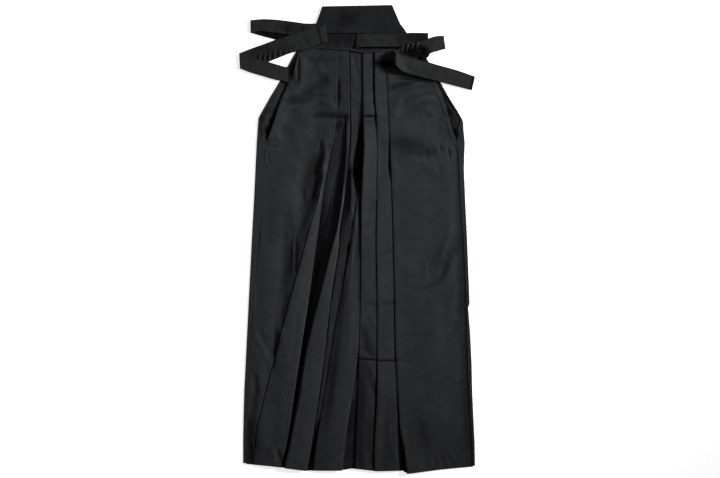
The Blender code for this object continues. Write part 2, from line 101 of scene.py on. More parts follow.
def addWeighted(tree, value, weight, added):
    return addNode(tree, "ShaderNodeMath", "Value",
                   {"operation": "MULTIPLY_ADD", 0: value, 1: weight, 2: added})


def addColours(tree, share, first, second):
    # first where the share is 0, second where it is 1
    return addNode(tree, "ShaderNodeMix", 2, {"data_type": "RGBA", 0: share, 6: first, 7: second})


def addBump(tree, height, strength, distance):
    return addNode(tree, "ShaderNodeBump", "Normal",
                   {"Height": height, "Strength": strength, "Distance": distance})


def newMaterial(name):
    material = bpy.data.materials.new(name)
    material.use_nodes = True
    return material, material.node_tree, material.node_tree.nodes["Principled BSDF"]


def addArea(name, azimuth, elevation, distance, size, power, spread, aim):
    light = bpy.data.lights.new(name, "AREA")
    light.size, light.energy, light.spread = size, power, radians(spread)
    lamp = bpy.data.objects.new(name, light)
    a, e = radians(azimuth), radians(elevation)
    lamp.location = (distance * cos(a) * cos(e), distance * sin(a) * cos(e), distance * sin(e))
    lamp.rotation_euler = (Vector(lamp.location) - Vector(aim)).to_track_quat("Z", "Y").to_euler()
    bpy.context.scene.collection.objects.link(lamp)


def makeStudio():
    scene = bpy.context.scene
    camera = bpy.data.objects.new("camera", bpy.data.cameras.new("camera"))
    camera.data.lens = camera.data.sensor_width * studio["cameraHeight"] / studio["seenWidth"]
    camera.location = (*studio["centre"], studio["cameraHeight"])
    scene.collection.objects.link(camera)
    scene.camera = camera
    scene.view_settings.view_transform = "Standard"

    for name in ("keyLight", "fillLight"):
        addArea(name, *studio[name])
    world = bpy.data.worlds.new("studio")
    scene.world = world
    world.use_nodes = True
    background = world.node_tree.nodes["Background"]
    background.inputs["Color"].default_value = (1, 1, 1, 1)
    background.inputs["Strength"].default_value = studio["skyStrength"]

    bpy.ops.object.select_all(action="DESELECT")
    bpy.ops.mesh.primitive_plane_add(size=studio["floorSize"], location=(0, 0, -studio["floorDrop"]))
    floor = bpy.context.object
    floor.name = "floor"
    material, tree, shader = newMaterial("mattPaperFloor")     # seamless studio paper, matt, faintly uneven
    grain = addNoise(tree, addNode(tree, "ShaderNodeTexCoord", "Object", {}), studio["floorGrain"], 2.0)
    setNode(tree, shader, {
        "Base Color": linear(studio["floorColour"]), "Roughness": 0.9, "Specular IOR Level": 0.1,
        "Emission Color": (1, 1, 1, 1), "Emission Strength": studio["floorGlow"],
        "Normal": addBump(tree, grain, 0.04, studio["floorRelief"])})
    floor.data.materials.append(material)


# The cloth of each piece. "worn" is the tone of its lighter threads and clouds; the third colour is
# painted shade, laid inside folds and where shadows fall.
panelCloth = {
    "colour": "#242528", "worn": "#333438", "paintedShadeAndMottle": "#030303",
    "twillPitch": 1.5,          # real 0.8; drawn about twice as coarse, so that it shows
    "twillDepth": 0.05, "ribs": 0.10, "threads": 1.25, "threadScale": (420, 150, 1),
    "roughness": 0.58, "specular": 0.035, "sheen": 0.006, "mottle": 0.55,
}
tieCloth = dict(panelCloth, colour="#1b1c1c", worn="#2d2e2e", twillPitch=1.2, roughness=0.64, mottle=0.8)
boardCloth = dict(panelCloth, colour="#121314", worn="#262729", twillPitch=1.2, roughness=0.66, mottle=1.0)
backCloth = dict(panelCloth, colour="#161618", worn="#222225", roughness=0.65, mottle=0.6)


def wovenTwill(name, cloth):
    # Polyester and rayon twill, black, piece dyed and pressed: a soft satin gleam on folds that face the
    # light, fine diagonal ribs, and slight clouds of tone. It reads the piece's UV map, in metres along
    # the cloth, and an attribute of painted shade, 1 inside a closed fold; on the board it holds its mottle.
    material, tree, shader = newMaterial(name)
    cut = addNode(tree, "ShaderNodeUVMap", "UV", {"uv_map": "cloth"})
    ribs = addNode(tree, "ShaderNodeTexWave", "Fac", {
        "bands_direction": "DIAGONAL", "Vector": cut, "Distortion": 0.6, "Detail": 1.0, "Detail Scale": 1.5,
        "Scale": 0.2 * pi / (sqrt(2) * cloth["twillPitch"] * mm)})
    warp = addNode(tree, "ShaderNodeMapping", "Vector", {"Vector": cut, "Scale": cloth["threadScale"]})
    slubs = addNoise(tree, warp, 1.0, 2.0)
    clouds, patches = addNoise(tree, cut, 16.0, 4.0, 0.6), addNoise(tree, cut, 60.0, 3.0, 0.55)
    # the clouds are spread about their middle, further where the cloth is more mottled
    middle, reach, newMiddle, newReach = 0.775, 0.4 * cloth["mottle"], 0.12, 0.5 * cloth["mottle"]
    level = addNode(tree, "ShaderNodeMapRange", "Result", {
        "Value": addWeighted(tree, clouds, 0.55, patches),
        "From Min": middle - reach, "From Max": middle + reach,
        "To Min": newMiddle - newReach, "To Max": newMiddle + newReach})
    threads = addWeighted(tree, slubs, cloth["threads"], level)
    base = addColours(tree, addWeighted(tree, ribs, cloth["ribs"], threads), linear(cloth["colour"]),
                      linear(cloth["worn"]))
    # painted shade: inside folds and where shadows fall the colour goes over to the shade colour
    fold = addNode(tree, "ShaderNodeAttribute", "Fac", {"attribute_name": "paintedShadeAndMottle"})
    setNode(tree, shader, {
        "Base Color": addColours(tree, fold, base, linear(cloth["paintedShadeAndMottle"])),
        "Roughness": addWeighted(tree, patches, 0.10, cloth["roughness"] - 0.05),
        "Normal": addBump(tree, addWeighted(tree, slubs, 0.5, ribs), 0.35, cloth["twillDepth"] * mm),
        "Specular IOR Level": cloth["specular"], "Sheen Weight": cloth["sheen"], "Sheen Roughness": 0.5})
    return material


def spunThread(name, hexColour):
    # Spun polyester sewing thread: a little lighter than the cloth and slightly glossy, with its twist,
    # whose hollows take painted shade.
    material, tree, shader = newMaterial(name)
    place, colour = addNode(tree, "ShaderNodeTexCoord", "Object", {}), linear(hexColour)
    twist = addNode(tree, "ShaderNodeTexWave", "Fac",
                    {"bands_direction": "DIAGONAL", "Vector": place, "Scale": 900.0})
    hollow = [0.7 * c for c in colour[:3]] + [1]
    setNode(tree, shader, {"Base Color": addColours(tree, twist, hollow, colour), "Roughness": 0.5})
    return material


def selectOnly(piece):
    bpy.ops.object.select_all(action="DESELECT")
    bpy.context.view_layer.objects.active = piece
    piece.select_set(True)


def smoothEdges(piece, angle):
    selectOnly(piece)
    bpy.ops.object.shade_smooth_by_angle(angle=radians(angle))
    piece.select_set(False)


def newPiece(name, points, faces, material, cut=None, paintedShadeAndMottle=None):
    # cut: where each point lies on the flat cloth; then how much painted shade each point takes, most inside
    # a fold
    points = points.reshape(-1, 3).copy()
    points[:, 1] -= middleY
    mesh = bpy.data.meshes.new(name)
    mesh.from_pydata((points * mm).tolist(), [], faces)
    if cut is not None:
        loops = np.zeros(len(mesh.loops), np.int32)
        mesh.loops.foreach_get("vertex_index", loops)
        flat = cut.reshape(-1, 2) * mm
        mesh.uv_layers.new(name="cloth").data.foreach_set("uv", flat[loops].ravel())
        shade = mesh.attributes.new("paintedShadeAndMottle", "FLOAT", "POINT")
        shade.data.foreach_set("value", paintedShadeAndMottle.ravel().astype(np.float32))
    mesh.materials.append(material)
    piece = bpy.data.objects.new(name, mesh)
    bpy.context.scene.collection.objects.link(piece)
    return piece


def lengthsAlong(points):
    return np.concatenate([[0], np.cumsum(np.linalg.norm(np.diff(points, axis=0), axis=1))])


def clothFromGrid(name, grid, material, paintedShadeAndMottle, wall=0.7, flip=False):
    # grid: rows x points x 3, the middle of the cloth; Solidify gives it its wall
    rows, count = grid.shape[:2]
    corners = [(i * count + j, (i + 1) * count + j) for i in range(rows - 1) for j in range(count - 1)]
    faces = [(a + 1, b + 1, b, a) if flip else (a, b, b + 1, a + 1) for a, b in corners]
    across = np.cumsum(np.linalg.norm(np.diff(grid, axis=1), axis=2), axis=1)
    across = np.concatenate([np.zeros((rows, 1)), across], axis=1)
    across -= across[:, count // 2][:, None]
    along = np.concatenate([[0], np.cumsum(np.linalg.norm(np.diff(grid, axis=0), axis=2).mean(axis=1))])
    cut = np.stack([across, np.broadcast_to(-along[:, None], across.shape)], axis=2)
    piece = newPiece(name, grid, faces, material, cut, paintedShadeAndMottle)
    selectOnly(piece)
    solid = piece.modifiers.new("wall", "SOLIDIFY")
    solid.thickness = wall * mm
    solid.offset = 0
    bpy.ops.object.modifier_apply(modifier="wall")
    smoothEdges(piece, 50)
    return piece


def curveAt(start, end, startSlope, endSlope, gap, t):
    # a smooth curve from start to end that has these slopes there
    return (start * (1 + 2 * t) * (1 - t) ** 2 + startSlope * gap * t * (1 - t) ** 2
            + end * t * t * (3 - 2 * t) - endSlope * gap * t * t * (1 - t))


def smoothPath(points, steps):
    # points: rows x n x k. A smooth curve through each row's points, with steps[i] parts to each stretch.
    ahead, behind = np.roll(points, -1, axis=1), np.roll(points, 1, axis=1)
    ahead[:, -1] = points[:, -1]
    behind[:, 0] = points[:, 0]
    way = (ahead - behind)[..., :2]
    way /= np.maximum(np.linalg.norm(way, axis=2, keepdims=True), 1e-9)
    parts = []
    for i, count in enumerate(steps):
        a, b = points[:, i], points[:, i + 1]
        gap = np.linalg.norm((b - a)[:, :2], axis=1, keepdims=True)
        for t in np.arange(count) / count:
            curve = curveAt(a[:, :2], b[:, :2], way[:, i], way[:, i + 1], gap, t)
            parts.append(np.concatenate([curve, lerp(a[:, 2:], b[:, 2:], t)], axis=1))
    parts.append(points[:, -1])
    return np.stack(parts, axis=1)


# Where the front's edges lie. down: across, for each column.
frontColumns = ("sideLeft", "wedge1Left", "wedge1Right", "wedge2Left", "wedge2Right", "wedge3Left",
                "wedge3Right", "centre", "strip", "panel", "sideRight")
frontRows = {
    0: (-131, -50, -44, -25, -18.8, -2.5, 5, 12, 38.5, 65.5, 131),
    60: (-145, -51.5, -45, -25, -18.5, -2.5, 5.5, 13, 39, 67, 168),
    112: (-168, -52.5, -46, -24.5, -17.5, -2.5, 6, 13.4, 40, 70, 193),
    184: (-192, -57, -50, -23.5, -16.8, -2.5, 6.4, 14.4, 45, 72.8, 214),
    225: (-205, -65.5, -58, -24.5, -18.4, -2.5, 7, 15, 46, 74, 226),
    338: (-212, -85.5, -77.5, -34, -29, 0, 7, 9.4, 45, 79, 232),
    410: (-216.5, -107, -87, -45, -40, -10.5, 6, 8.6, 43.5, 81, 237.5),
    450: (-219.5, -118, -93, -56, -42, -15, 5.6, 8.4, 43.5, 82, 240),
    562: (-231, -148, -108.5, -84, -59, -36.5, 5, 7.6, 45.5, 84.5, 245),
    675: (-239, -177, -125.5, -112, -72, -55.5, 2.5, 5, 45.5, 86.5, 247.5),
    788: (-246.5, -205, -142, -129.5, -86.5, -74, -11.5, 1.5, 44.5, 92, 252),
    864: (-249.5, -222, -152.5, -144, -98, -87, -23, -1, 40.5, 97.5, 256.5),
    900: (-250, -227.5, -158.5, -151, -103.5, -93, -28, -2.5, 39, 105, 258.5),
    954: (-250, -234.8, -170.5, -163.5, -113.5, -99.5, -34.5, -5, 38, 111.5, 260.5),
}
# How high each edge stands over the cloth that it lies on; how high each strip's foot runs in under the
# next; and the height of the soft ridge along the first pleat's left edge.
liftColumns = ("wedge1Left", "wedge1Right", "wedge2Left", "wedge2Right", "wedge3Left", "wedge3Right",
               "centre", "centreFoot", "strip", "stripFoot", "panel", "ridge")
liftRows = {
    0: (1.3, 3, 2, 3.5, 1.3, 1.6, 2.4, 0, 3.2, 0, 2, 0),
    112: (1.3, 3.2, 2.4, 4, 1.3, 1.6, 2.6, 0, 3.2, 0, 1.5, 0),
    150: (1.3, 3.4, 4, 4.6, 1.3, 1.6, 5, 0, 3, 0, 1.4, 0),
    225: (1.3, 4, 6.2, 5.4, 1.3, 1.6, 8.5, 0, 2, 0, 3.2, 0),
    250: (1.3, 4, 6.6, 5.8, 1.3, 1.6, 9.2, 0, 2, 0, 4, 1.6),
    270: (1.3, 4, 7, 6, 1.3, 1.6, 9.5, 0, 2, 0, 4.4, 3.4),
    300: (1.3, 4, 8, 6.6, 1.3, 1.6, 8, 0, 2, 0, 2.2, 5),
    340: (1.4, 4.2, 9.5, 7.4, 1.4, 1.6, 5, 0, 2, 0, 2, 6.4),
    450: (1.4, 4.4, 10, 7.5, 2.2, 1.6, 3, 0, 2, 0, 2, 7.2),
    560: (1.5, 4.4, 9.5, 6.5, 1.8, 1.6, 2.2, 0, 2, 0, 2, 6.5),
    690: (1.5, 4.4, 9, 5.5, 1.5, 2.4, 2, 0, 2, 0, 2.4, 3.6),
    712: (1.4, 4.4, 9, 5, 1.5, 2.6, 2.2, 1.2, 3.4, 0.6, 2.8, 2.4),
    740: (1.4, 4.4, 9, 5, 1.5, 2.8, 2.4, 1.3, 3.6, 0.8, 3, 0.8),
    790: (1.4, 4.4, 8.5, 5, 1.5, 3.4, 2.8, 1.4, 4.2, 1, 3.4, 0.3),
    954: (1.4, 4.4, 8, 5, 2.6, 4, 3.2, 1.8, 4.6, 1.4, 5.4, 0),
}
# down: how far the ridge reaches left
ridgeRun = {240: 16, 300: 30, 340: 32, 400: 28, 450: 40, 560: 34, 660: 16, 954: 12}
pleats = {
    "pitch": 1.5, "nose": 0.6, "openDepth": -4.0, "openRate": 0.12, "foldShare": 0.3,
    "underShare": 0.4, "underGap": 1.8, "wedgeStarts": (275.0, 150.0, 309.0),
    "stripUnder": 16.0, "unders": ((18.0, 190.0, 75.0), (16.0, 60.0, 80.0)),     # how much, from, run
    "slopeOut": 34.0, "slopeMiddle": 0.5, "clearTop": 36.0, "clearFolded": 10.0,
    "seamShare": 0.45, "seamGap": 0.3, "crownRate": 0.03, "crownFrom": 8.0,
    # the lowest that the front comes, over the gussets in the middle and over the back beside them
    "overGusset": 2.75, "overBack": 1.5, "gussetEdge": 56,
}
# Where the cloth at the bottom of a gap takes painted shade and lies lower: down, from, to, darkness;
# softness, drop.
leftHollows = [
    ([(228, -26, -20, 0), (240, -30, -18, 0.35), (265, -39.5, -18, 0.35), (286, -49, -20, 0.3),
      (315, -57, -22, 0.25), (346, -63, -28, 0.25), (376, -69, -36, 0.25), (400, -76, -44, 0.2),
      (420, -100, -48, 0.2), (450, -112, -56, 0.2), (510, -122, -70, 0.25), (562, -130, -84, 0.35),
      (620, -140, -100, 0.6), (680, -150, -115, 0.9), (954, -190, -160, 0.95)], 4, 2.4),
    ([(290, -76, -50, 0.35), (331, -90, -55, 0.45), (350, -96, -57, 0.6), (364, -100, -60, 0.72),
      (398, -105, -65, 0.88), (432, -112, -70, 0.9), (477, -120, -80, 0.92), (562, -130, -97, 0.94),
      (620, -140, -110, 0.96), (700, -150, -120, 0.97)], 11, 0),
    ([(140, -44, -34, 0.1), (165, -47, -34, 0.35), (200, -52, -36, 0.45), (238, -60, -37, 0.45),
      (290, -72, -42, 0.35), (320, -80, -50, 0.2), (335, -84, -54, 0)], 5, 0),
    ([(160, -47, -35, 0.2), (166, -46, -32, 0.75), (180, -47, -36, 0.75), (196, -48, -42, 0.3)], 2.4, 0.4),
    ([(66, -45.5, -38, 0.2), (80, -45.5, -36.4, 0.8), (110, -46, -35.4, 0.85), (128, -46.5, -38, 0.5),
      (136, -47, -42, 0.1)], 2, 0.3),
    ([(275, -25, -14.8, 0.97), (300, -27, -14, 0.98), (335, -31, -13.8, 0.98), (355, -33, -15, 0.95),
      (376, -37, -20, 0.85), (430, -42, -38, 0.6)], 1.6, 1.2),
    ([(345, -34, -12, 0.1), (365, -36, -13, 0.45), (410, -42, -15, 0.45), (470, -46, -23, 0.35),
      (560, -60, -36, 0.3), (700, -78, -55, 0.25), (800, -92, -74, 0.15)], 3, 0),
    ([(440, -23, -15, 0.2), (448, -23, -13, 0.95), (468, -23, -14, 0.98), (488, -22.5, -16, 0.95),
      (504, -23, -19, 0.4)], 1.2, 0.8),
    ([(370, 3, 9, 0.2), (410, 1, 9, 0.75), (450, 0, 9, 0.8), (476, 1, 9, 0.6), (530, 3, 9, 0.3)], 4, 0.3),
    ([(838, -104, -78, 0.1), (862, -106, -80, 0.85), (900, -110, -86, 0.97),
      (954, -120, -92, 0.98)], 2, 0.8),
    ([(155, 10, 17, 0.95), (179, 4, 17, 0.97), (205, -0.8, 17, 0.98), (225, -4, 17, 0.98),
      (254, -9.2, 18, 0.98), (270, -11.2, 18, 0.98), (286, -11.2, 18, 0.98), (306, -7.2, 18, 0.98),
      (326, -2.2, 14, 0.98), (341, 2, 9, 0.98), (348, 5, 7, 0.6)], 1.4, 2.2),
    ([(560, 7, 10, 0.3), (705, -1, 10, 0.5), (735, -6, 9, 0.55), (790, -12, 8, 0.5),
      (954, -37, 0, 0.55)], 3, 0.2),
]
rightHollows = [
    ([(147, 41, 49, 0.5), (151, 36, 49, 0.95), (157, 38, 49, 0.98), (168, 42, 49, 0.98),
      (184, 45.5, 49.5, 0.9)], 1.2, 1.2),
    ([(205, 73.5, 78, 0.2), (220, 72.4, 79, 0.9), (235, 70.9, 80, 0.98), (254, 71, 82, 0.98),
      (265, 72.4, 83, 0.98), (275, 75, 83, 0.98), (286, 78.2, 83, 0.9)], 1, 1.6),
    ([(790, 88, 100, 0.3), (830, 90, 106, 0.6), (864, 90, 110, 0.9), (906, 91, 114, 0.95),
      (954, 95, 122, 0.95)], 2.2, 1.4),
]
# Narrow shade beside an edge that stands up: which side, then down, how wide, how dark.
edgeShades = {
    "centre": (-1, [(-5, 1.6, 0.7), (60, 1.8, 0.8), (112, 2.2, 0.97), (345, 2.4, 0.9), (365, 6, 0.9),
                    (395, 8, 0.97), (440, 7.5, 0.95), (477, 6.5, 0.75), (500, 4, 0.7), (560, 2, 0.9),
                    (705, 2.4, 0.95), (954, 2.2, 0.9)]),
    "strip": (-1, [(-5, 3.6, 0.97), (112, 4, 0.97), (146, 3.4, 0.97), (180, 3.4, 0.97), (188, 2.4, 0.8),
                   (205, 1.8, 0.75), (335, 1.8, 0.8), (345, 2.6, 0.97), (575, 2.6, 0.97), (610, 1.8, 0.8),
                   (700, 1.8, 0.85), (712, 2.8, 0.97), (954, 3.2, 0.97)]),
    "panel": (-1, [(-5, 2, 0.85), (150, 1.9, 0.8), (205, 1.8, 0.8), (286, 2, 0.97), (675, 2, 0.97),
                   (700, 3, 0.97), (954, 3.6, 0.97)]),
    "wedge1Right": (1, [(-5, 2, 0.5), (112, 2.2, 0.6), (190, 2.6, 0.85), (300, 3.2, 0.95), (440, 3.2, 0.95),
                        (954, 3, 0.97)]),
    "wedge2Right": (1, [(-5, 3.4, 0.97), (140, 3.8, 0.97), (170, 4.2, 0.98), (260, 4.6, 0.98),
                        (300, 4, 0.97), (420, 3.8, 0.95), (540, 3.6, 0.95), (700, 3.2, 0.85),
                        (800, 3.4, 0.95), (954, 3.4, 0.97)]),
    "wedge3Right": (1, [(340, 1.6, 0.3), (500, 1.8, 0.6), (700, 2, 0.7), (790, 2.4, 0.8),
                        (954, 2.8, 0.85)]),
}
# In the side slits: down, how far out from the front's edge the back lies in the dark.
slitShades = {
    -1: [(70, 3), (90, 2), (112, 2.6), (130, 4.5), (150, 8.5), (165, 10.5), (182, 15), (193, 12.5),
         (202, 6), (208, 0)],
    1: [(60, 1.6), (90, 1.8), (112, 2.4), (126, 4), (138, 7.6), (150, 8), (162, 4.6), (176, 3), (184, 6),
        (194, 9.5), (203, 8), (211, 2), (216, 0)],
}
# How far the waist and the hem run above (+) or below a level line: across, height.
topEdge = [(-150, 0), (-127, -6), (-88, 2.5), (-43, -1), (-16, -2), (11, -7), (62.5, -4.5), (85, -1.5),
           (132.5, 0)]
hemEdge = [(-257, 19), (-191.5, 13.5), (-115, 3.5), (-34, 4), (-18.5, 8.5), (-0.5, 7.5), (42.5, 2.5),
           (103, 3.5), (112, -3), (128, -1.5), (186.5, 5.5), (265, 13)]
# The turned-up hem: how high it reaches, how much thicker it is, and how its stitches pull it in.
hemFold = {"height": 16, "rise": 0.35, "lip": 2.5, "lipDrop": 0.3, "stitchAt": 17, "stitchReach": 7.0,
           "puckerDepth": 0.5, "puckerPitch": 27.0, "puckerDrift": 31.0}
# The slits' hems: where they begin and end, how thick they are, how far they stand up, their stitches, and
# the painted shade along the stitches and along the right slit's seam.
slitFold = {"top": 40, "bottom": 214, "width": 12, "rise": 0.5, "stitchAt": 11, "stitchDrop": 0.2,
            "stitchShade": 0.35, "lift": (1.0, 2.4), "liftFrom": 90, "liftWidth": 30, "liftRight": 0.3,
            "seamShade": 0.97, "seamFrom": 200, "seamWidth": 4.2}

# Soft folds that the solids have too: ridge lines from one point to another, half width, height.
swells = [
    (-118, 150, -160, 420, 24, 2), (-172, 330, -205, 640, 24, 2.2), (-215, 700, -222, 880, 16, 1.6),
    (130, 120, 150, 420, 30, 2.4), (200, 250, 205, 520, 24, 2.2), (165, 560, 170, 860, 34, 2.4),
    (-130, 30, -146, 76, 15, 3.2),
]
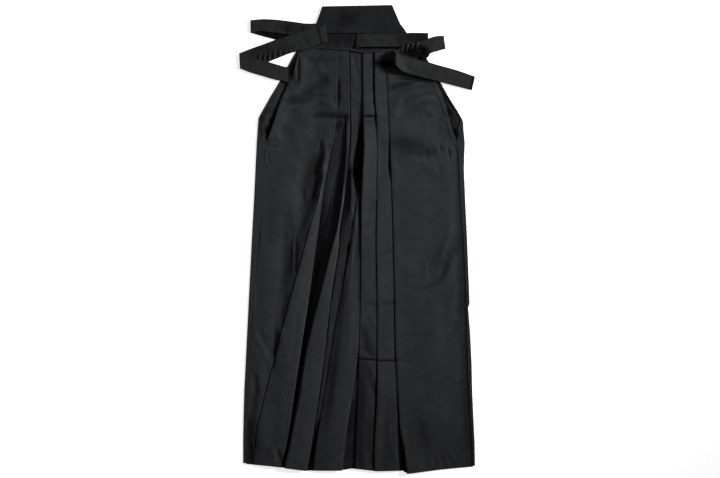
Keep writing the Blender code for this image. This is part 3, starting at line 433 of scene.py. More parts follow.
# Creases of the front: across, down at each end, half width, height, and the painted shade inside the
# sharp ones; a trough's height is below zero. Shallow troughs with strong painted shade are cast shadows.
frontCreases = [
    # left panel, beside the pleats
    (-154, 365, -160, 545, 17, -0.9, 0.45), (-98, 235, -116, 335, 22, -0.9, 0.5),
    (-78, 236, -96, 320, 9, -0.5, 0.3), (-150, 385, -150, 425, 9, -0.8, 0.35),
    (-156, 545, -176, 640, 14, -1, 0.15), (-178, 640, -188, 712, 7, -0.8, 0.6),
    (-244, 850, -228, 930, 16, -0.8, 0.4), (-80, 208, -86, 250, 5, -1.5, 0.6),
    (-88, 240, -104, 310, 16, -1.8, 0.5), (-93, 298, -100, 350, 9, -1.6, 0.8),
    (-117, 305, -117, 352, 9, -1.4, 0.65), (-108, 262, -118, 372, 18, -1.2, 0.35),
    (-71, 236, -86, 290, 5, 1.3), (-76, 205, -68, 250, 5, 0.8), (-104, 356, -120, 420, 9, 0.8),
    (-143, 420, -145, 520, 2.4, 1.2), (-137, 425, -139, 510, 4, -0.9, 0.35),
    (-156, 540, -171, 645, 9, -1.2, 0.2), (-166, 560, -173, 640, 4, -0.6, 0.3),
    (-146, 430, -150, 560, 11, -0.6, 0.15), (-184.5, 680, -190, 732, 4.4, -1.6, 0.98),
    (-172, 650, -184, 690, 7, -1, 0.35), (-237, 655, -214, 684, 6, 0.8), (-214, 684, -193, 735, 6, 0.8),
    (-222, 640, -200, 690, 7, -1, 0.1), (-229, 742, -227, 802, 7, -1.4, 0.35),
    (-233, 800, -237, 880, 9, -0.9, 0.4), (-229, 892, -238.5, 950, 5.4, -1, 0.98),
    (-240, 840, -242, 964, 13, -0.6, 0.75), (-250, 925, -247, 946, 4, 0.8),
    (-229, 770, -232, 830, 8, -0.8, 0.3), (-230, 520, -222, 600, 10, -0.6),
    # left panel, above
    (-170, 124, -112, 106, 14, -1.4, 0.5), (-128, 112, -62, 66, 18, -1.2, 0.45),
    (-92, 86, -66, 70, 11, -1, 0.5), (-150, 42, -136, 84, 10, -1.2, 0.6), (-118, 30, -30, 24, 9, -1, 0.25),
    (-110, 20, -88, 38, 9, -1, 0.4), (-176, 176, -148, 200, 14, -1, 0.15), (-126, 56, -72, 48, 10, 1.2),
    (-162, 172, -106, 184, 5, 1), (-110, 153, -20, 155, 9.5, -2, 0.6), (-70, 153, -20, 155, 7, -0.9, 0.75),
    (-100, 138, -50, 136, 8, 0.9), (-130, 205, -104, 216, 12, -0.8, 0.1), (-160, 168, -110, 178, 9, -0.7),
    (-186, 62, -150, 100, 10, -0.7), (-96, 44, -58, 60, 10, 0.9), (-150, 230, -120, 262, 12, -0.8),
    (-126, 12, -96, 26, 8, -1, 0.15), (-130, 9, -131, 80, 4.6, -0.8, 0.995), (-140, 12, -142, 76, 4, 1.6),
    (-201, 221, -184, 214, 3.4, 1.4), (-198, 227, -180, 222, 3, -1.1, 0.3), (-184, 207, -170, 209, 3, 0.8),
    (-188, 231, -172, 236, 4, 0.9), (-192, 206, -182, 199, 3, -0.9, 0.3),
    (-204, 240, -196, 262, 4, -0.8, 0.2), (-206, 262, -204, 300, 5, -0.6, 0.15),
    # between the pleats
    (-21, 215, -29, 322, 6, 0.1, 0.6), (-92, 330, -112, 392, 12, -0.8, 0.35),
    (-104, 392, -124, 440, 9, -0.8, 0.35), (-128, 440, -144, 520, 12, -0.6, 0.25),
    (-146, 405, -147, 440, 4, -0.6, 0.5), (-76, 282, -96, 330, 12, -0.8, 0.4), (-46, 90, -30, 118, 6, 0.8),
    (-36, 96, -30, 128, 5, -0.7, 0.15), (-12.5, 258, -10.8, 288, 1.6, 1.6), (-10.8, 286, 3, 342, 1.6, 1.6),
    (-17, 350, -9, 380, 3, 1), (-28, 385, -33, 450, 4, 1), (-36, 400, -42, 470, 4, -0.9, 0.3),
    (-60, 560, -66, 690, 4, 0.9), (0.5, 738, -6.5, 940, 1.5, 2.6), (4, 318, 4.5, 480, 3.8, -0.2, 0.9),
    (4.5, 480, 3.5, 590, 2.6, -0.2, 0.6),
    # the loose pleats' faces
    (-30, 535, -43, 650, 10, -0.4, 0.6), (-39, 620, -51, 720, 12, -0.3, 0.55),
    (-48, 680, -63, 820, 13, -0.3, 0.55), (-62, 800, -72, 850, 9, -0.3, 0.3),
    (-22, 440, -33, 560, 5, -0.6, 0.4), (-1.5, 375, -15, 500, 3.4, 1.3), (-15, 500, -24, 600, 4, 0.9),
    (-60, 712, -78, 850, 8, -0.8, 0.3), (-30, 400, -36, 470, 5, -0.6, 0.4), (-108, 540, -118, 760, 9, -0.8),
    (-131, 590, -146, 720, 5, -0.5, 0.1), (-176, 800, -196, 930, 10, -0.9),
    (-177, 912, -168, 948, 6, -1.4, 0.75), (-189, 910, -186.5, 948, 3.6, 2),
    (-199, 910, -204, 936, 4, -0.9, 0.3), (-212, 915, -215, 940, 4, -0.6, 0.2),
    (-150, 780, -160, 900, 9, -0.6, 0.1), (-12, 560, -20, 720, 8, 1), (-14, 560, -4, 470, 7, 1),
    (-34, 500, -44, 610, 7, -1), (-128, 800, -140, 900, 9, -0.8), (-4, 400, -8, 470, 6, -0.8, 0.3),
    (0, 440, -6, 540, 7, -0.8, 0.25),
    # across the pressed strips
    (-6, 702, 46, 702, 3.6, -1.6, 0.98), (40, 703, 92, 705, 4, -1.4, 0.85),
    (88, 704, 120, 706, 4, -0.8, 0.3), (16, 574, 44, 575, 6, -0.9, 0.25), (50, 574, 86, 573, 8, -1.2, 0.35),
    (10, 459, 80, 459, 8, -0.5, 0.1), (10, 149, 46, 150, 4.6, -1.4, 0.95), (14, 162, 42, 164, 8, -0.6, 0.3),
    (20, 136, 36, 130, 6, 0.8), (46, 158, 70, 160, 5, -0.7, 0.15), (12, 300, 74, 300, 14, -0.5),
    (14, 628, 26, 696, 13, -1.2, 0.55), (6, 672, 40, 694, 9, -0.8, 0.5), (24, 596, 44, 630, 6, 0.9),
    (14, 715, 40, 780, 10, -1.2, 0.4), (10, 850, 34, 940, 12, -0.8, 0.3), (12, 690, 6, 990, 20, -0.2, 0.6),
    (24, 800, 30, 880, 10, -0.6, 0.25), (30, 715, 42, 745, 5, 0.8), (20, 836, 22, 926, 7, -1, 0.3),
    (64, 800, 62, 900, 9, -0.9, 0.25), (80, 790, 84, 900, 8, -0.8, 0.3), (66, 760, 72, 990, 20, -0.1, 0.3),
    (50, 740, 56, 860, 8, 0.7),
    # right panel, below
    (138, 836, 162, 930, 15, -1.4, 0.35), (118, 826, 150, 930, 8, 1.2), (228, 260, 236, 640, 14, -0.8, 0.4),
    (238, 210, 245, 430, 12, -0.3, 0.4), (245, 430, 250, 680, 10, -0.2, 0.35),
    (240, 640, 252, 940, 16, -0.8, 0.38), (224, 415, 192, 520, 11, -0.8, 0.36), (216, 396, 184, 482, 8, 1),
    (214, 462, 198, 520, 8, 1), (240, 500, 230, 566, 9, -1.4, 0.12), (230, 560, 222, 610, 10, -1.3, 0.15),
    (242, 596, 208, 668, 10, -1, 0.1), (153, 470, 155, 530, 3, 0.8), (120, 440, 116, 560, 12, 0.6),
    (234, 688, 252, 694, 4, -1, 0.35), (238, 704, 253, 710, 4, -0.8, 0.3),
    (226, 764, 253, 752, 5, -0.8, 0.25), (206, 780, 216, 840, 14, -0.8), (132, 846, 140, 905, 9, -1.1, 0.3),
    (116, 850, 122, 930, 8, -0.6, 0.2), (150, 800, 156, 880, 14, 0.8), (232, 880, 256, 900, 10, 0.8),
    (240, 600, 252, 590, 8, 0.6), (168, 916, 180, 944, 4, -0.9, 0.3), (186, 918, 194, 946, 4, -0.9, 0.25),
    (200, 915, 212, 944, 4, -0.8, 0.25), (216, 908, 230, 940, 4, -0.8, 0.25),
    (234, 900, 248, 930, 4, -0.7, 0.2), (152, 924, 160, 946, 4, -0.6, 0.2), (190, 560, 196, 690, 12, -0.7),
    (100, 300, 112, 420, 14, 0.7),
    # right panel, above; the near-black shallow troughs are painted shadows of the right tie and its loop
    (66, 212, 150, 220, 24, -1.8, 0.5), (80, 232, 176, 236, 12, -1.2, 0.4),
    (80, 250, 104, 240, 9, -0.8, 0.3), (90, 262, 170, 252, 10, 1.8), (66, 90, 130, 76, 10, -1.2, 0.7),
    (92, 66, 170, 77, 5.5, -0.2, 0.95), (118, 146, 156, 140, 12, -1.2, 0.2),
    (150, 150, 206, 150, 12, -1, 0.15), (34, 30, 80, 31, 14, -0.1, 0.98), (44, 31, 100, 36, 14, -0.2, 0.99),
    (128, 16, 148, 34, 9, -0.1, 0.9), (159, 152, 171, 147, 4, 1), (165, 148, 189, 158, 4, 1),
    (187, 156, 198, 166, 4, 0.9), (160, 190, 190, 178, 8, -0.9), (140, 262, 190, 284, 12, 0.9),
    (173.5, 218, 181.6, 236, 3, 0.8), (186, 218, 190, 238, 2.6, -0.9, 0.5), (193, 231, 204, 221, 3, 0.9),
    (205.6, 227, 209, 252, 3, -1.2, 0.8), (200, 246, 204, 262, 3, 0.6),
    (213, 216, 222, 236, 2.6, -0.6, 0.4), (208, 212, 216, 224, 2.4, 0.6),
    (226, 222, 230, 250, 2.4, -0.6, 0.4), (180, 262, 188, 290, 6, -0.8),
    (150, 226, 160, 252, 7, -0.9, 0.15), (164, 240, 172, 262, 5, 0.7),
    # below the waist, where the pleats gather
    (-6, 16, 4, 60, 5, -1, 0.2), (-12, 30, 6, 44, 4, 1), (-2, 10, -8, 40, 3, -0.9, 0.3),
    (76, 36, 120, 50, 16, -0.9), (-78, 30, -60, 60, 10, -0.7), (-14, 60, -2, 84, 5, 0.8),
    (-10, 92, 4, 100, 4, -0.6, 0.15),
]
# Long curved folds: points along them, half width, height, and the painted shade in them.
frontArcs = [
    ([(75, 129), (97, 110), (124, 101.5), (155, 94.5), (171, 96), (188, 110)], 4.5, 2, 0),
    ([(116, 135), (135, 118), (160, 113), (177, 118)], 4, 1.6, 0),
    ([(78, 156), (88, 132), (103, 118)], 9, 2.4, 0),
    ([(96, 136), (112, 118), (134, 108), (168, 102)], 5, -1.2, 0.35),
    ([(104, 156), (126, 134), (150, 124), (178, 126)], 7, -1.4, 0.35),
    ([(70, 112), (94, 98), (130, 90), (166, 86)], 5, -1, 0.35),
    ([(-167, 141), (-128, 130), (-86, 119), (-62, 124), (-48, 133)], 5, 2, 0),
    ([(-170, 130), (-128, 118), (-92, 107), (-62, 112)], 7, -0.8, 0.5),
    ([(-120, 142), (-88, 132), (-60, 136)], 5, -0.6, 0.2),
    ([(244, 402), (222, 446), (204, 488), (182, 530), (150, 540), (104, 540)], 6, -1.2, 0.35),
]
# Unevenness of the laid cloth at three sizes: height, size, seed, stretch across and down. The two small
# ones are strong down to "upper" and calmer below it, and all three start below the waist.
cloudy = {"large": (1.5, 70.0, 3.1, 1.0, 1.0), "small": (1.0, 34.0, 5.3, 0.8, 1.2),
          "fine": (0.3, 15.0, 7.7, 1.0, 1.0), "from": 10, "run": 60,
          "upper": 330.0, "upperRun": 120, "calm": 0.35, "strong": 0.7}
foldReach = 1.6           # how far the flanks of a fold run out, in half widths
shadeReach = 1.1          # how far its darkness does
endShade = 0.3            # how much of that darkness is left at its ends
layer = {"middle": 3.4, "side": 2.0, "from": 62.0, "run": 40.0}      # level of the front's lowest layer


def slopeAt(rows, downs, column, i):
    before, after = max(i - 1, 0), min(i + 1, len(downs) - 1)
    return (rows[downs[after]][column] - rows[downs[before]][column]) / (downs[after] - downs[before])


def readRows(rows, columns, down):
    # each column's value at a height between the table's rows, on a smooth curve
    downs = sorted(rows)
    i = 0
    while i < len(downs) - 2 and down > downs[i + 1]:
        i += 1
    gap = downs[i + 1] - downs[i]
    start, end, t = rows[downs[i]], rows[downs[i + 1]], (down - downs[i]) / gap
    slopes = [[slopeAt(rows, downs, k, row) for row in (i, i + 1)] for k in range(len(columns))]
    return {name: curveAt(start[k], end[k], *slopes[k], gap, t) for k, name in enumerate(columns)}


def columnAt(rows, k, down):
    # one column's value, on straight lines between the table's rows
    downs = sorted(rows)
    return np.interp(down, downs, [rows[d][k] for d in downs])


def edgeAt(name, down):
    return columnAt(frontRows, frontColumns.index(name), down)


def readEdge(points, x):
    return np.interp(x, [p[0] for p in points], [p[1] for p in points])


def segmentShare(x, down, fold):
    # how far along a fold's line each point lies (0 to 1) and how far away from it
    x0, down0, x1, down1 = fold[:4]
    runX, runDown = x1 - x0, down1 - down0
    along = ((x - x0) * runX + (down - down0) * runDown) / (runX ** 2 + runDown ** 2)
    held = np.clip(along, 0, 1)
    return held, np.hypot(x - x0 - runX * held, down - down0 - runDown * held)


def fade(along):
    # 1 along most of a fold, 0 at both of its ends
    return 1 - np.abs(2 * along - 1) ** 4


def creaseLift(x, down, creases):
    lift = np.zeros(x.shape)
    for fold in creases:
        along, away = segmentShare(x, down, fold)
        lift = lift + fold[5] * fade(along) * smooth(1 - away / (foldReach * fold[4]))
    return lift


def creaseDarkness(x, down, creases):
    dark = np.zeros(x.shape)
    for fold in creases:
        if len(fold) > 6:
            along, away = segmentShare(x, down, fold)
            ends = lerp(endShade, 1.0, fade(along))
            dark = np.maximum(dark, fold[6] * ends * smooth(shadeReach - away / fold[4]))
    return dark


def ground(x, down):
    # level of the front's lowest layer, as in the solids
    level = lerp(layer["middle"], layer["side"], smooth((np.abs(x) - layer["from"]) / layer["run"]))
    for fold in swells:
        level = level + fold[5] * smooth(1 - segmentShare(x, down, fold)[1] / fold[4] * 0.5)
    return level


def arcShare(x, down, points):
    # like segmentShare, along a line of several points
    lengths = [np.hypot(b[0] - a[0], b[1] - a[1]) for a, b in zip(points, points[1:])]
    along, away, done = np.zeros(x.shape), np.full(x.shape, 1e9), 0.0
    for a, b, length in zip(points, points[1:], lengths):
        share, apart = segmentShare(x, down, (*a, *b))
        along = np.where(apart < away, (done + share * length) / sum(lengths), along)
        away = np.minimum(away, apart)
        done += length
    return fade(along), away


def addArcs(x, down, z, paintedShadeAndMottle):
    for points, halfWidth, height, darkness in frontArcs:
        ends, away = arcShare(x, down, points)
        z = z + height * ends * smooth(1 - away / (foldReach * halfWidth))
        paintedShadeAndMottle = np.maximum(paintedShadeAndMottle, darkness * ends * smooth(shadeReach - away / halfWidth))
    return z, paintedShadeAndMottle


def hollowShadeAndDrop(x, down, hollows):
    # painted shade and drop of the cloth at the bottom of gaps
    dark, drop = np.zeros(x.shape), np.zeros(x.shape)
    for rows, soft, fall in hollows:
        downs, left, right, strength = zip(*rows)
        here = (down >= downs[0]) & (down <= downs[-1])
        inside = (smooth((x - np.interp(down, downs, left)) / soft + 0.5)
                  * smooth((np.interp(down, downs, right) - x) / soft + 0.5) * here)
        dark = np.maximum(dark, inside * np.interp(down, downs, strength))
        drop = np.maximum(drop, inside * fall)
    return dark, drop


def edgeDarkness(x, down):
    dark = np.zeros(x.shape)
    overlap, softness = 2.2, 0.9        # how far it runs back over the edge, and how softly it ends
    for column, (side, rows) in edgeShades.items():
        downs, widths, strengths = zip(*rows)
        away = side * (x - edgeAt(column, down))
        inside = smooth(away + overlap) * smooth((np.interp(down, downs, widths) - away) / softness + 0.5)
        dark = np.maximum(dark, inside * np.interp(down, downs, strengths) * (down >= downs[0]))
    return dark


def handWrinkles(x, down, size, seed):
    # slight unevenness that any laid cloth has, at one size
    places = zip(x.ravel(), down.ravel())
    values = [noise.noise(Vector((a / size, b / size, seed))) for a, b in places]
    return np.array(values).reshape(x.shape)


def howShut(depth):
    return min(max(1 - depth / pleats["openDepth"], 0.0), 1.0)


def facingLeft(edge, depth, lift, opened=(0.0, 0.0), foot=0.0):
    # six points of a pleat whose edge faces left: across, up, how much painted shade it takes inside the
    # fold, how much of it is the bottom of a gap
    hidden, nose = edge + depth, pleats["nose"]
    share = min(pleats["foldShare"] * depth, nose)
    shut = howShut(depth)
    z0, z1 = lerp(opened[0], foot, shut), lerp(opened[1], lift, shut)
    pitch = min(pleats["pitch"], 0.45 * max(z1 - z0, 0.0))
    return [(hidden - nose, z0, 0.0, 1.0), (hidden, z0 + 0.5 * pitch, shut, 1.0),
            (hidden - share, z0 + pitch, shut, 1.0), (edge + share, z1 - pitch, shut, 1 - shut),
            (edge, z1 - 0.5 * pitch, 0.3 * shut, 1 - shut), (edge + nose, z1, 0.0, 1 - shut)]


def facingRight(edge, depth, lift):
    return [(-x, z, paintedShadeAndMottle, low) for x, z, paintedShadeAndMottle, low in reversed(facingLeft(-edge, depth, lift))]


def underWidth(width):
    return min(pleats["underShare"] * width, 0.5 * (width - pleats["underGap"]))


def looseDepth(width, start, down):
    return min(underWidth(width), pleats["openDepth"] + max(0.0, down - start) * pleats["openRate"])


def crown(left, right, leftLift, rightLift, shut):
    swell = pleats["crownRate"] * max(0.0, right - left - pleats["crownFrom"]) * shut
    return (left + right) / 2, (leftLift + rightLift * shut) / 2 + swell, 0.0, 1 - shut


def middleSeam(x):
    return x["centre"] + pleats["seamShare"] * pleats["stripUnder"]


def flatPoints(left, right, shares):
    return [(lerp(left, right, t), 0.0, 0.0, 0.0) for t in shares]


def between(a, b, shares):
    return [(lerp(a[0], b[0], t), lerp(a[1], b[1], t), 0.0, 1.0) for t in shares]


def bottomBetween(last, following):
    # three points along the cloth that shows between two pleats
    return between(last, following, (0.25, 0.75, 0.9))


foldSteps = [2, 3, 4, 3, 2]                      # parts of each stretch around a folded edge
sidePoints = (0, 3, 6.5, 8.5, 10, 11.5, 14)      # beside the slit hem, millimetres in from the edge
leftShares = (0.12, 0.24, 0.36, 0.48, 0.6, 0.72, 0.84, 1)
rightShares = (0, 0.12, 0.25, 0.38, 0.52, 0.66, 0.8, 0.92)


def leftFrontPath(down):
    # side panel and the three pleats that lie loose, each open above and shut below
    x, h = readRows(frontRows, frontColumns, down), readRows(liftRows, liftColumns, down)
    edges = [(x[f"wedge{n}Left"], x[f"wedge{n}Right"]) for n in (1, 2, 3)]
    lifts = [(h[f"wedge{n}Left"], h[f"wedge{n}Right"]) for n in (1, 2, 3)]
    widths = [right - left for left, right in edges]
    depths = [looseDepth(width, start, down) for width, start in zip(widths, pleats["wedgeStarts"])]
    # how far each wedge's right edge is folded in under it
    unders = [lerp(most, underWidth(width), smooth((down - start) / run))
              for (most, start, run), width in zip(pleats["unders"], widths)] + [depths[2]]
    openDepth, shut = pleats["openDepth"], howShut(depths[0])
    folded = smooth(0.5 - 0.5 * depths[0] / openDepth)
    panelEnd = edges[0][0] - lerp(pleats["clearTop"], pleats["clearFolded"], folded)
    # an open pleat is a slope from where the cloth starts to rise up to the pleat's right edge
    starts = (panelEnd, edges[0][1] - unders[0])
    rises = [lift[1] / (edge[1] - start) for lift, edge, start in zip(lifts, edges, starts)]
    opened = [[rise * (edge[0] + d - start) for d in (openDepth, 0)]
              for rise, edge, start in zip(rises, edges, starts)] + [(0.0, 0.0)]

    path = [(x["sideLeft"] + inset, 0.0, 0.0, 0.0) for inset in sidePoints]
    path += flatPoints(path[-1][0], panelEnd, leftShares)
    steps = [1] * (len(sidePoints) - 1) + [4] * len(leftShares)
    for across in (lerp(panelEnd, edges[0][0] + openDepth, t) for t in (0.35, 0.7)):
        path.append((across, rises[0] * (across - panelEnd) * (1 - shut), 0.0, 0.0))
    for i, ((left, right), (leftLift, rightLift)) in enumerate(zip(edges, lifts)):
        edge = facingLeft(left, depths[i], leftLift, opened[i])
        if i == 0:
            # the wide panel lies here, not the bottom of a gap
            path += [(*p[:3], p[3] * shut) for p in edge[:3]] + [(*p[:3], 0.0) for p in edge[3:]]
            steps += [3, 3, 3]
        else:
            path += bottomBetween(path[-1], edge[0]) + edge
            steps += [6, 10, 3, 3]
        path.append(crown(left, right, path[-1][1], rightLift, howShut(depths[2]) if i == 2 else 1.0))
        path += facingRight(right, unders[i], rightLift)
        steps += foldSteps + [6, 6] + foldSteps
    path.append((middleSeam(x) - 0.5 * pleats["seamGap"], 0.0, 0.0, 1.0))
    return path, steps + [4]


def rightFrontPath(down):
    # the pressed pleats, each a strip that runs in under the next, and the side panel
    x, h = readRows(frontRows, frontColumns, down), readRows(liftRows, liftColumns, down)
    run, foot = pleats["stripUnder"], 0.0
    path, steps = [(middleSeam(x) + 0.5 * pleats["seamGap"], 0.0, 1.0, 0.0)], [2]
    for name, following in (("centre", "strip"), ("strip", "panel"), ("panel", None)):
        path += facingLeft(x[name], run, h[name], foot=foot)
        steps += foldSteps
        if following:
            foot = h[name + "Foot"]
            path += between((x[name], h[name]), (x[following] + run, foot), (0.3, 0.72))
            steps += [4, 12, 4]
    start = x["panel"] + pleats["slopeOut"]
    path.append((start, pleats["slopeMiddle"] * h["panel"], 0.0, 0.0))
    path += flatPoints(x["panel"] + 2 * pleats["slopeOut"], x["sideRight"] - sidePoints[-1], rightShares)
    path += [(x["sideRight"] - inset, 0.0, 0.0, 0.0) for inset in reversed(sidePoints)]
    return path, steps + [5, 5] + [4] * (len(rightShares) - 1) + [2] + [1] * (len(sidePoints) - 1)


# Heights at which the front is worked out: its spacing, and where it is closer, at sharp creases and ends.
frontSpacing = {"wide": 5.0, "close": 2.2,
                "closeAt": [(0, 12), (146, 164), (205, 240), (692, 710), (936, 954)]}


def frontStations():
    stations = []
    down = 0.0
    while down < frontLength - 0.5:
        stations.append(down)
        close = any(a <= down < b for a, b in frontSpacing["closeAt"])
        down += frontSpacing["close" if close else "wide"]
    return stations + [frontLength]


def pleatRidge(x, down):
    # the cloth rises softly from the left to the first pleat's edge, and its face falls away to the right
    left, right = edgeAt("wedge1Left", down), edgeAt("wedge1Right", down)
    height = columnAt(liftRows, -1, down)
    run = np.interp(down, list(ridgeRun), list(ridgeRun.values()))
    return height * np.where(x < left, 1 - smooth((left - x) / run),
                             1 - np.clip((x - left) / np.maximum(right - 2.0 - left, 1.0), 0, 1))


def frontPanel(name, pathAt, hollows, material):
    onLeft = name == "front_left"
    stations = frontStations()
    paths = [pathAt(down) for down in stations]
    grid = smoothPath(np.array([path[0] for path in paths]), paths[0][1])
    x, z, paintedShadeAndMottle, low = grid[..., 0], grid[..., 1], grid[..., 2], grid[..., 3]
    down = np.broadcast_to(np.array(stations)[:, None], x.shape)
    z = z + ground(x, down) + creaseLift(x, down, frontCreases)
    if onLeft:
        z = z + pleatRidge(x, down)
    # painted shade: at the bottoms of gaps, beside raised edges, in creases and along the curved folds
    dark, drop = hollowShadeAndDrop(x, down, hollows)
    dark = np.maximum(dark, edgeDarkness(x, down))
    z = z - drop * low
    paintedShadeAndMottle = np.maximum(paintedShadeAndMottle, np.clip(low, 0, 1) * dark)
    paintedShadeAndMottle = np.maximum(paintedShadeAndMottle, creaseDarkness(x, down, frontCreases))
    z, paintedShadeAndMottle = addArcs(x, down, z, paintedShadeAndMottle)
    started = smooth((down - cloudy["from"]) / cloudy["run"])
    upper = lerp(cloudy["calm"], cloudy["strong"], smooth((cloudy["upper"] - down) / cloudy["upperRun"]))
    for kind, weight in (("large", started), ("small", started * upper), ("fine", started * upper)):
        height, size, seed, wide, tall = cloudy[kind]
        z = z + height * handWrinkles(x * wide, down * tall, size, seed) * weight
    # the hem is turned up inside: a slightly raised band, pulled in here and there by its stitches
    hem = frontLength - down
    z = z + hemFold["rise"] * smooth((hemFold["height"] - hem) / 3.0)
    z = z - hemFold["lipDrop"] * smooth((hemFold["lip"] - hem) / hemFold["lip"])
    drift = 3 * np.sin(x / hemFold["puckerDrift"])
    pull = 0.5 + 0.5 * np.sin(x * 2 * pi / hemFold["puckerPitch"] + drift)
    z = z - hemFold["puckerDepth"] * pull ** 3 * bell(hem - hemFold["stitchAt"], hemFold["stitchReach"])
    # the slit's hem: a thick edge that stands up a little, with a line of stitches darkened by painted
    # shade; on the right, painted shade along its seam with the back
    side = np.abs(x - (x[:, :1] if onLeft else x[:, -1:]))
    slit = smooth((slitFold["bottom"] - down) / 10) * smooth((down - slitFold["top"]) / 20)
    if not onLeft:
        seam = smooth((down - slitFold["seamFrom"]) / 30) * smooth((slitFold["seamWidth"] - side) / 2.0)
        paintedShadeAndMottle = np.maximum(paintedShadeAndMottle, slitFold["seamShade"] * seam)
    stitches = side - slitFold["stitchAt"]
    z = z - slit * slitFold["stitchDrop"] * bell(stitches, 1.4)
    z = z + slit * slitFold["rise"] * smooth((slitFold["width"] - side) / 4)
    lift = lerp(*slitFold["lift"], smooth((down - slitFold["liftFrom"]) / 50))
    lift = lift * smooth((slitFold["liftWidth"] - side) / 26)
    z = z + slit * lift * (1.0 if onLeft else slitFold["liftRight"])
    paintedShadeAndMottle = np.maximum(paintedShadeAndMottle, slitFold["stitchShade"] * slit * bell(stitches, 1.0))
    y = waistY - down + lerp(readEdge(topEdge, x), readEdge(hemEdge, x), down / frontLength)
    beside = smooth((np.abs(x) - pleats["gussetEdge"]) / 10)
    z = np.maximum(z, lerp(pleats["overGusset"], pleats["overBack"], beside))
    return clothFromGrid(name + "Cloth", np.stack([x, y, z], axis=2), material, np.clip(paintedShadeAndMottle, 0, 1))


# The back, flat where it rests, its side edges turned up over the front. down: across, left and right.
backRows = {
    -33: (-104, 109.5), -4: (-131, 139), 25: (-148, 157.5), 81: (-177.5, 189.5), 112: (-196, 206.5),
    140: (-211.5, 224), 160: (-222.5, 235.5), 170: (-223.2, 239.3), 184: (-224.2, 239.4),
    216: (-226.4, 242.5), 250: (-228, 241.2), 279: (-229.3, 240.6), 310: (-230.7, 242),
    342: (-232.2, 243.2), 405: (-235.6, 246.4), 450: (-238, 248.3), 500: (-240.4, 250.2),
    562: (-243.5, 252.6), 582: (-244.5, 253.2), 592: (-245, 250), 606: (-245.6, 251.3),
    657: (-248.2, 254.9), 720: (-251.2, 257.8), 788: (-254.5, 259.3), 846: (-256, 262), 900: (-257, 264.6),
    950: (-257, 265.4),
}
back = {
    "wall": 0.6, "level": 0.31, "solidWall": 1.2, "nose": 0.9, "top": -33, "length": 952.5, "spacing": 5.0,
    "turnRise": 1.5, "turnMin": 3.4, "turnSlope": 0.42, "slitFoot": 160.0,
    "pleatTop": 30.0, "pleatHem": 96.0, "pleatStep": 0.65, "pleatFade": 46.0,
    "beforeRim": 12.0, "rim": 4.0, "rimFold": 2.4, "pleatNose": 1.2,
    "dimple": 0.5, "dimpleSize": 16.0, "dimpleSeed": 2.2, "creasedTo": 250, "creasedRun": 60,
    "slitShade": 0.98, "slitDrop": 0.5, "openShade": 0.12, "aboveShade": 0.65,
    "underShade": 0.1, "lineShade": 0.8, "lineWidth": 2.6, "seamWidth": 1.4,
}
# Creases of the back's inside, which shows in the slits and under the board; all stand up from the floor. A
# seventh number is the painted shade in it.
backCreases = [
    (-9, -31, -9, -6, 6, 1.2), (-206, 150, -214, 184, 5, 2.4), (-196, 132, -208, 166, 4, 1.2, 0.2),
    (-176, 96, -190, 130, 6, 1.2), (-199, 160, -203, 206, 3.6, 0.1, 0.97),
    (-192, 140, -199, 165, 3, 0.1, 0.7), (-218, 182, -210, 204, 4, 0.1, 0.8),
    (-222, 166, -218, 186, 4, 1.2), (200, 138, 213, 178, 3, 0.1, 0.8), (213, 178, 226, 208, 3.4, 0.1, 0.97),
    (210, 132, 228, 176, 4, 0.5, 0.45), (220, 168, 232, 200, 3, 1.4), (176, 92, 196, 128, 5, 1.2, 0.3),
    (228, 164, 232, 186, 3, 0.1, 0.5), (190, 84, 236, 210, 15, 0.2, 0.55),
    (-232, 180, -226, 208, 3, 0.6, 0.3), (-196, 128, -218, 184, 9, 0.2, 0.35),
    (-92, -24, -60, -28, 6, 0.6, 0.6), (-64, -22, -44, -30, 7, 0.8, 0.75), (-40, -20, -26, -28, 6, 1),
    (-30, -10, -44, -6, 6, 1.6), (-74, -8, -56, -4, 5, 1.2), (-24, -22, -12, -6, 5, 0.6, 0.55),
    (-52, -12, -46, -6, 5, 0.6, 0.5), (-90, -10, -78, -14, 6, 1), (-14, -28, -4, -22, 5, 1.2),
]


def backPath(down, side):
    outline = abs(columnAt(backRows, 0 if side < 0 else 1, down)) - 0.5 * back["solidWall"]
    front = readRows(frontRows, frontColumns, max(down, 0))
    front = abs(front["sideLeft"] if side < 0 else front["sideRight"])
    turn = back["turnMin"] + back["turnSlope"] * max(0.0, down - back["slitFoot"])
    turn = min(turn, max(outline - front - pleats["seamGap"], back["turnMin"] - 1))
    low, high, nose = back["level"], back["level"] + back["turnRise"], outline - back["nose"]
    fold = lerp(back["pleatTop"], back["pleatHem"], max(down, 0) / frontLength)
    step = low + back["pleatStep"] * smooth(down / 30)
    start = fold + back["pleatFade"]
    # across, up, painted shade; the middle seam, the pleat, the flat part, the rim turned up over the front
    path = [(0.02, low, 0.6), (fold * 0.5, low, 0.5), (fold - back["pleatNose"], low, 0.5),
            (fold, lerp(low, step, 0.5), 0.6), (fold + back["pleatNose"], step, 0.5), (start, low, 0.4)]
    path += [(lerp(start, outline - back["beforeRim"], t), low, 0.3) for t in (0.25, 0.5, 0.75, 1)]
    path += [(outline - back["rim"], low, 0.5), (nose, low, 0.7), (outline, lerp(low, high, 0.5), 0.9),
             (nose, high, 0.75), (outline - min(turn, back["rimFold"]), high, 0.0),
             (outline - turn, high, 0.0)]
    return [(side * x, z, paintedShadeAndMottle) for x, z, paintedShadeAndMottle in path]


backSteps = [3, 3, 2, 2, 8, 4, 4, 4, 4, 3, 2, 4, 4, 1, 4]      # parts of each stretch of the path


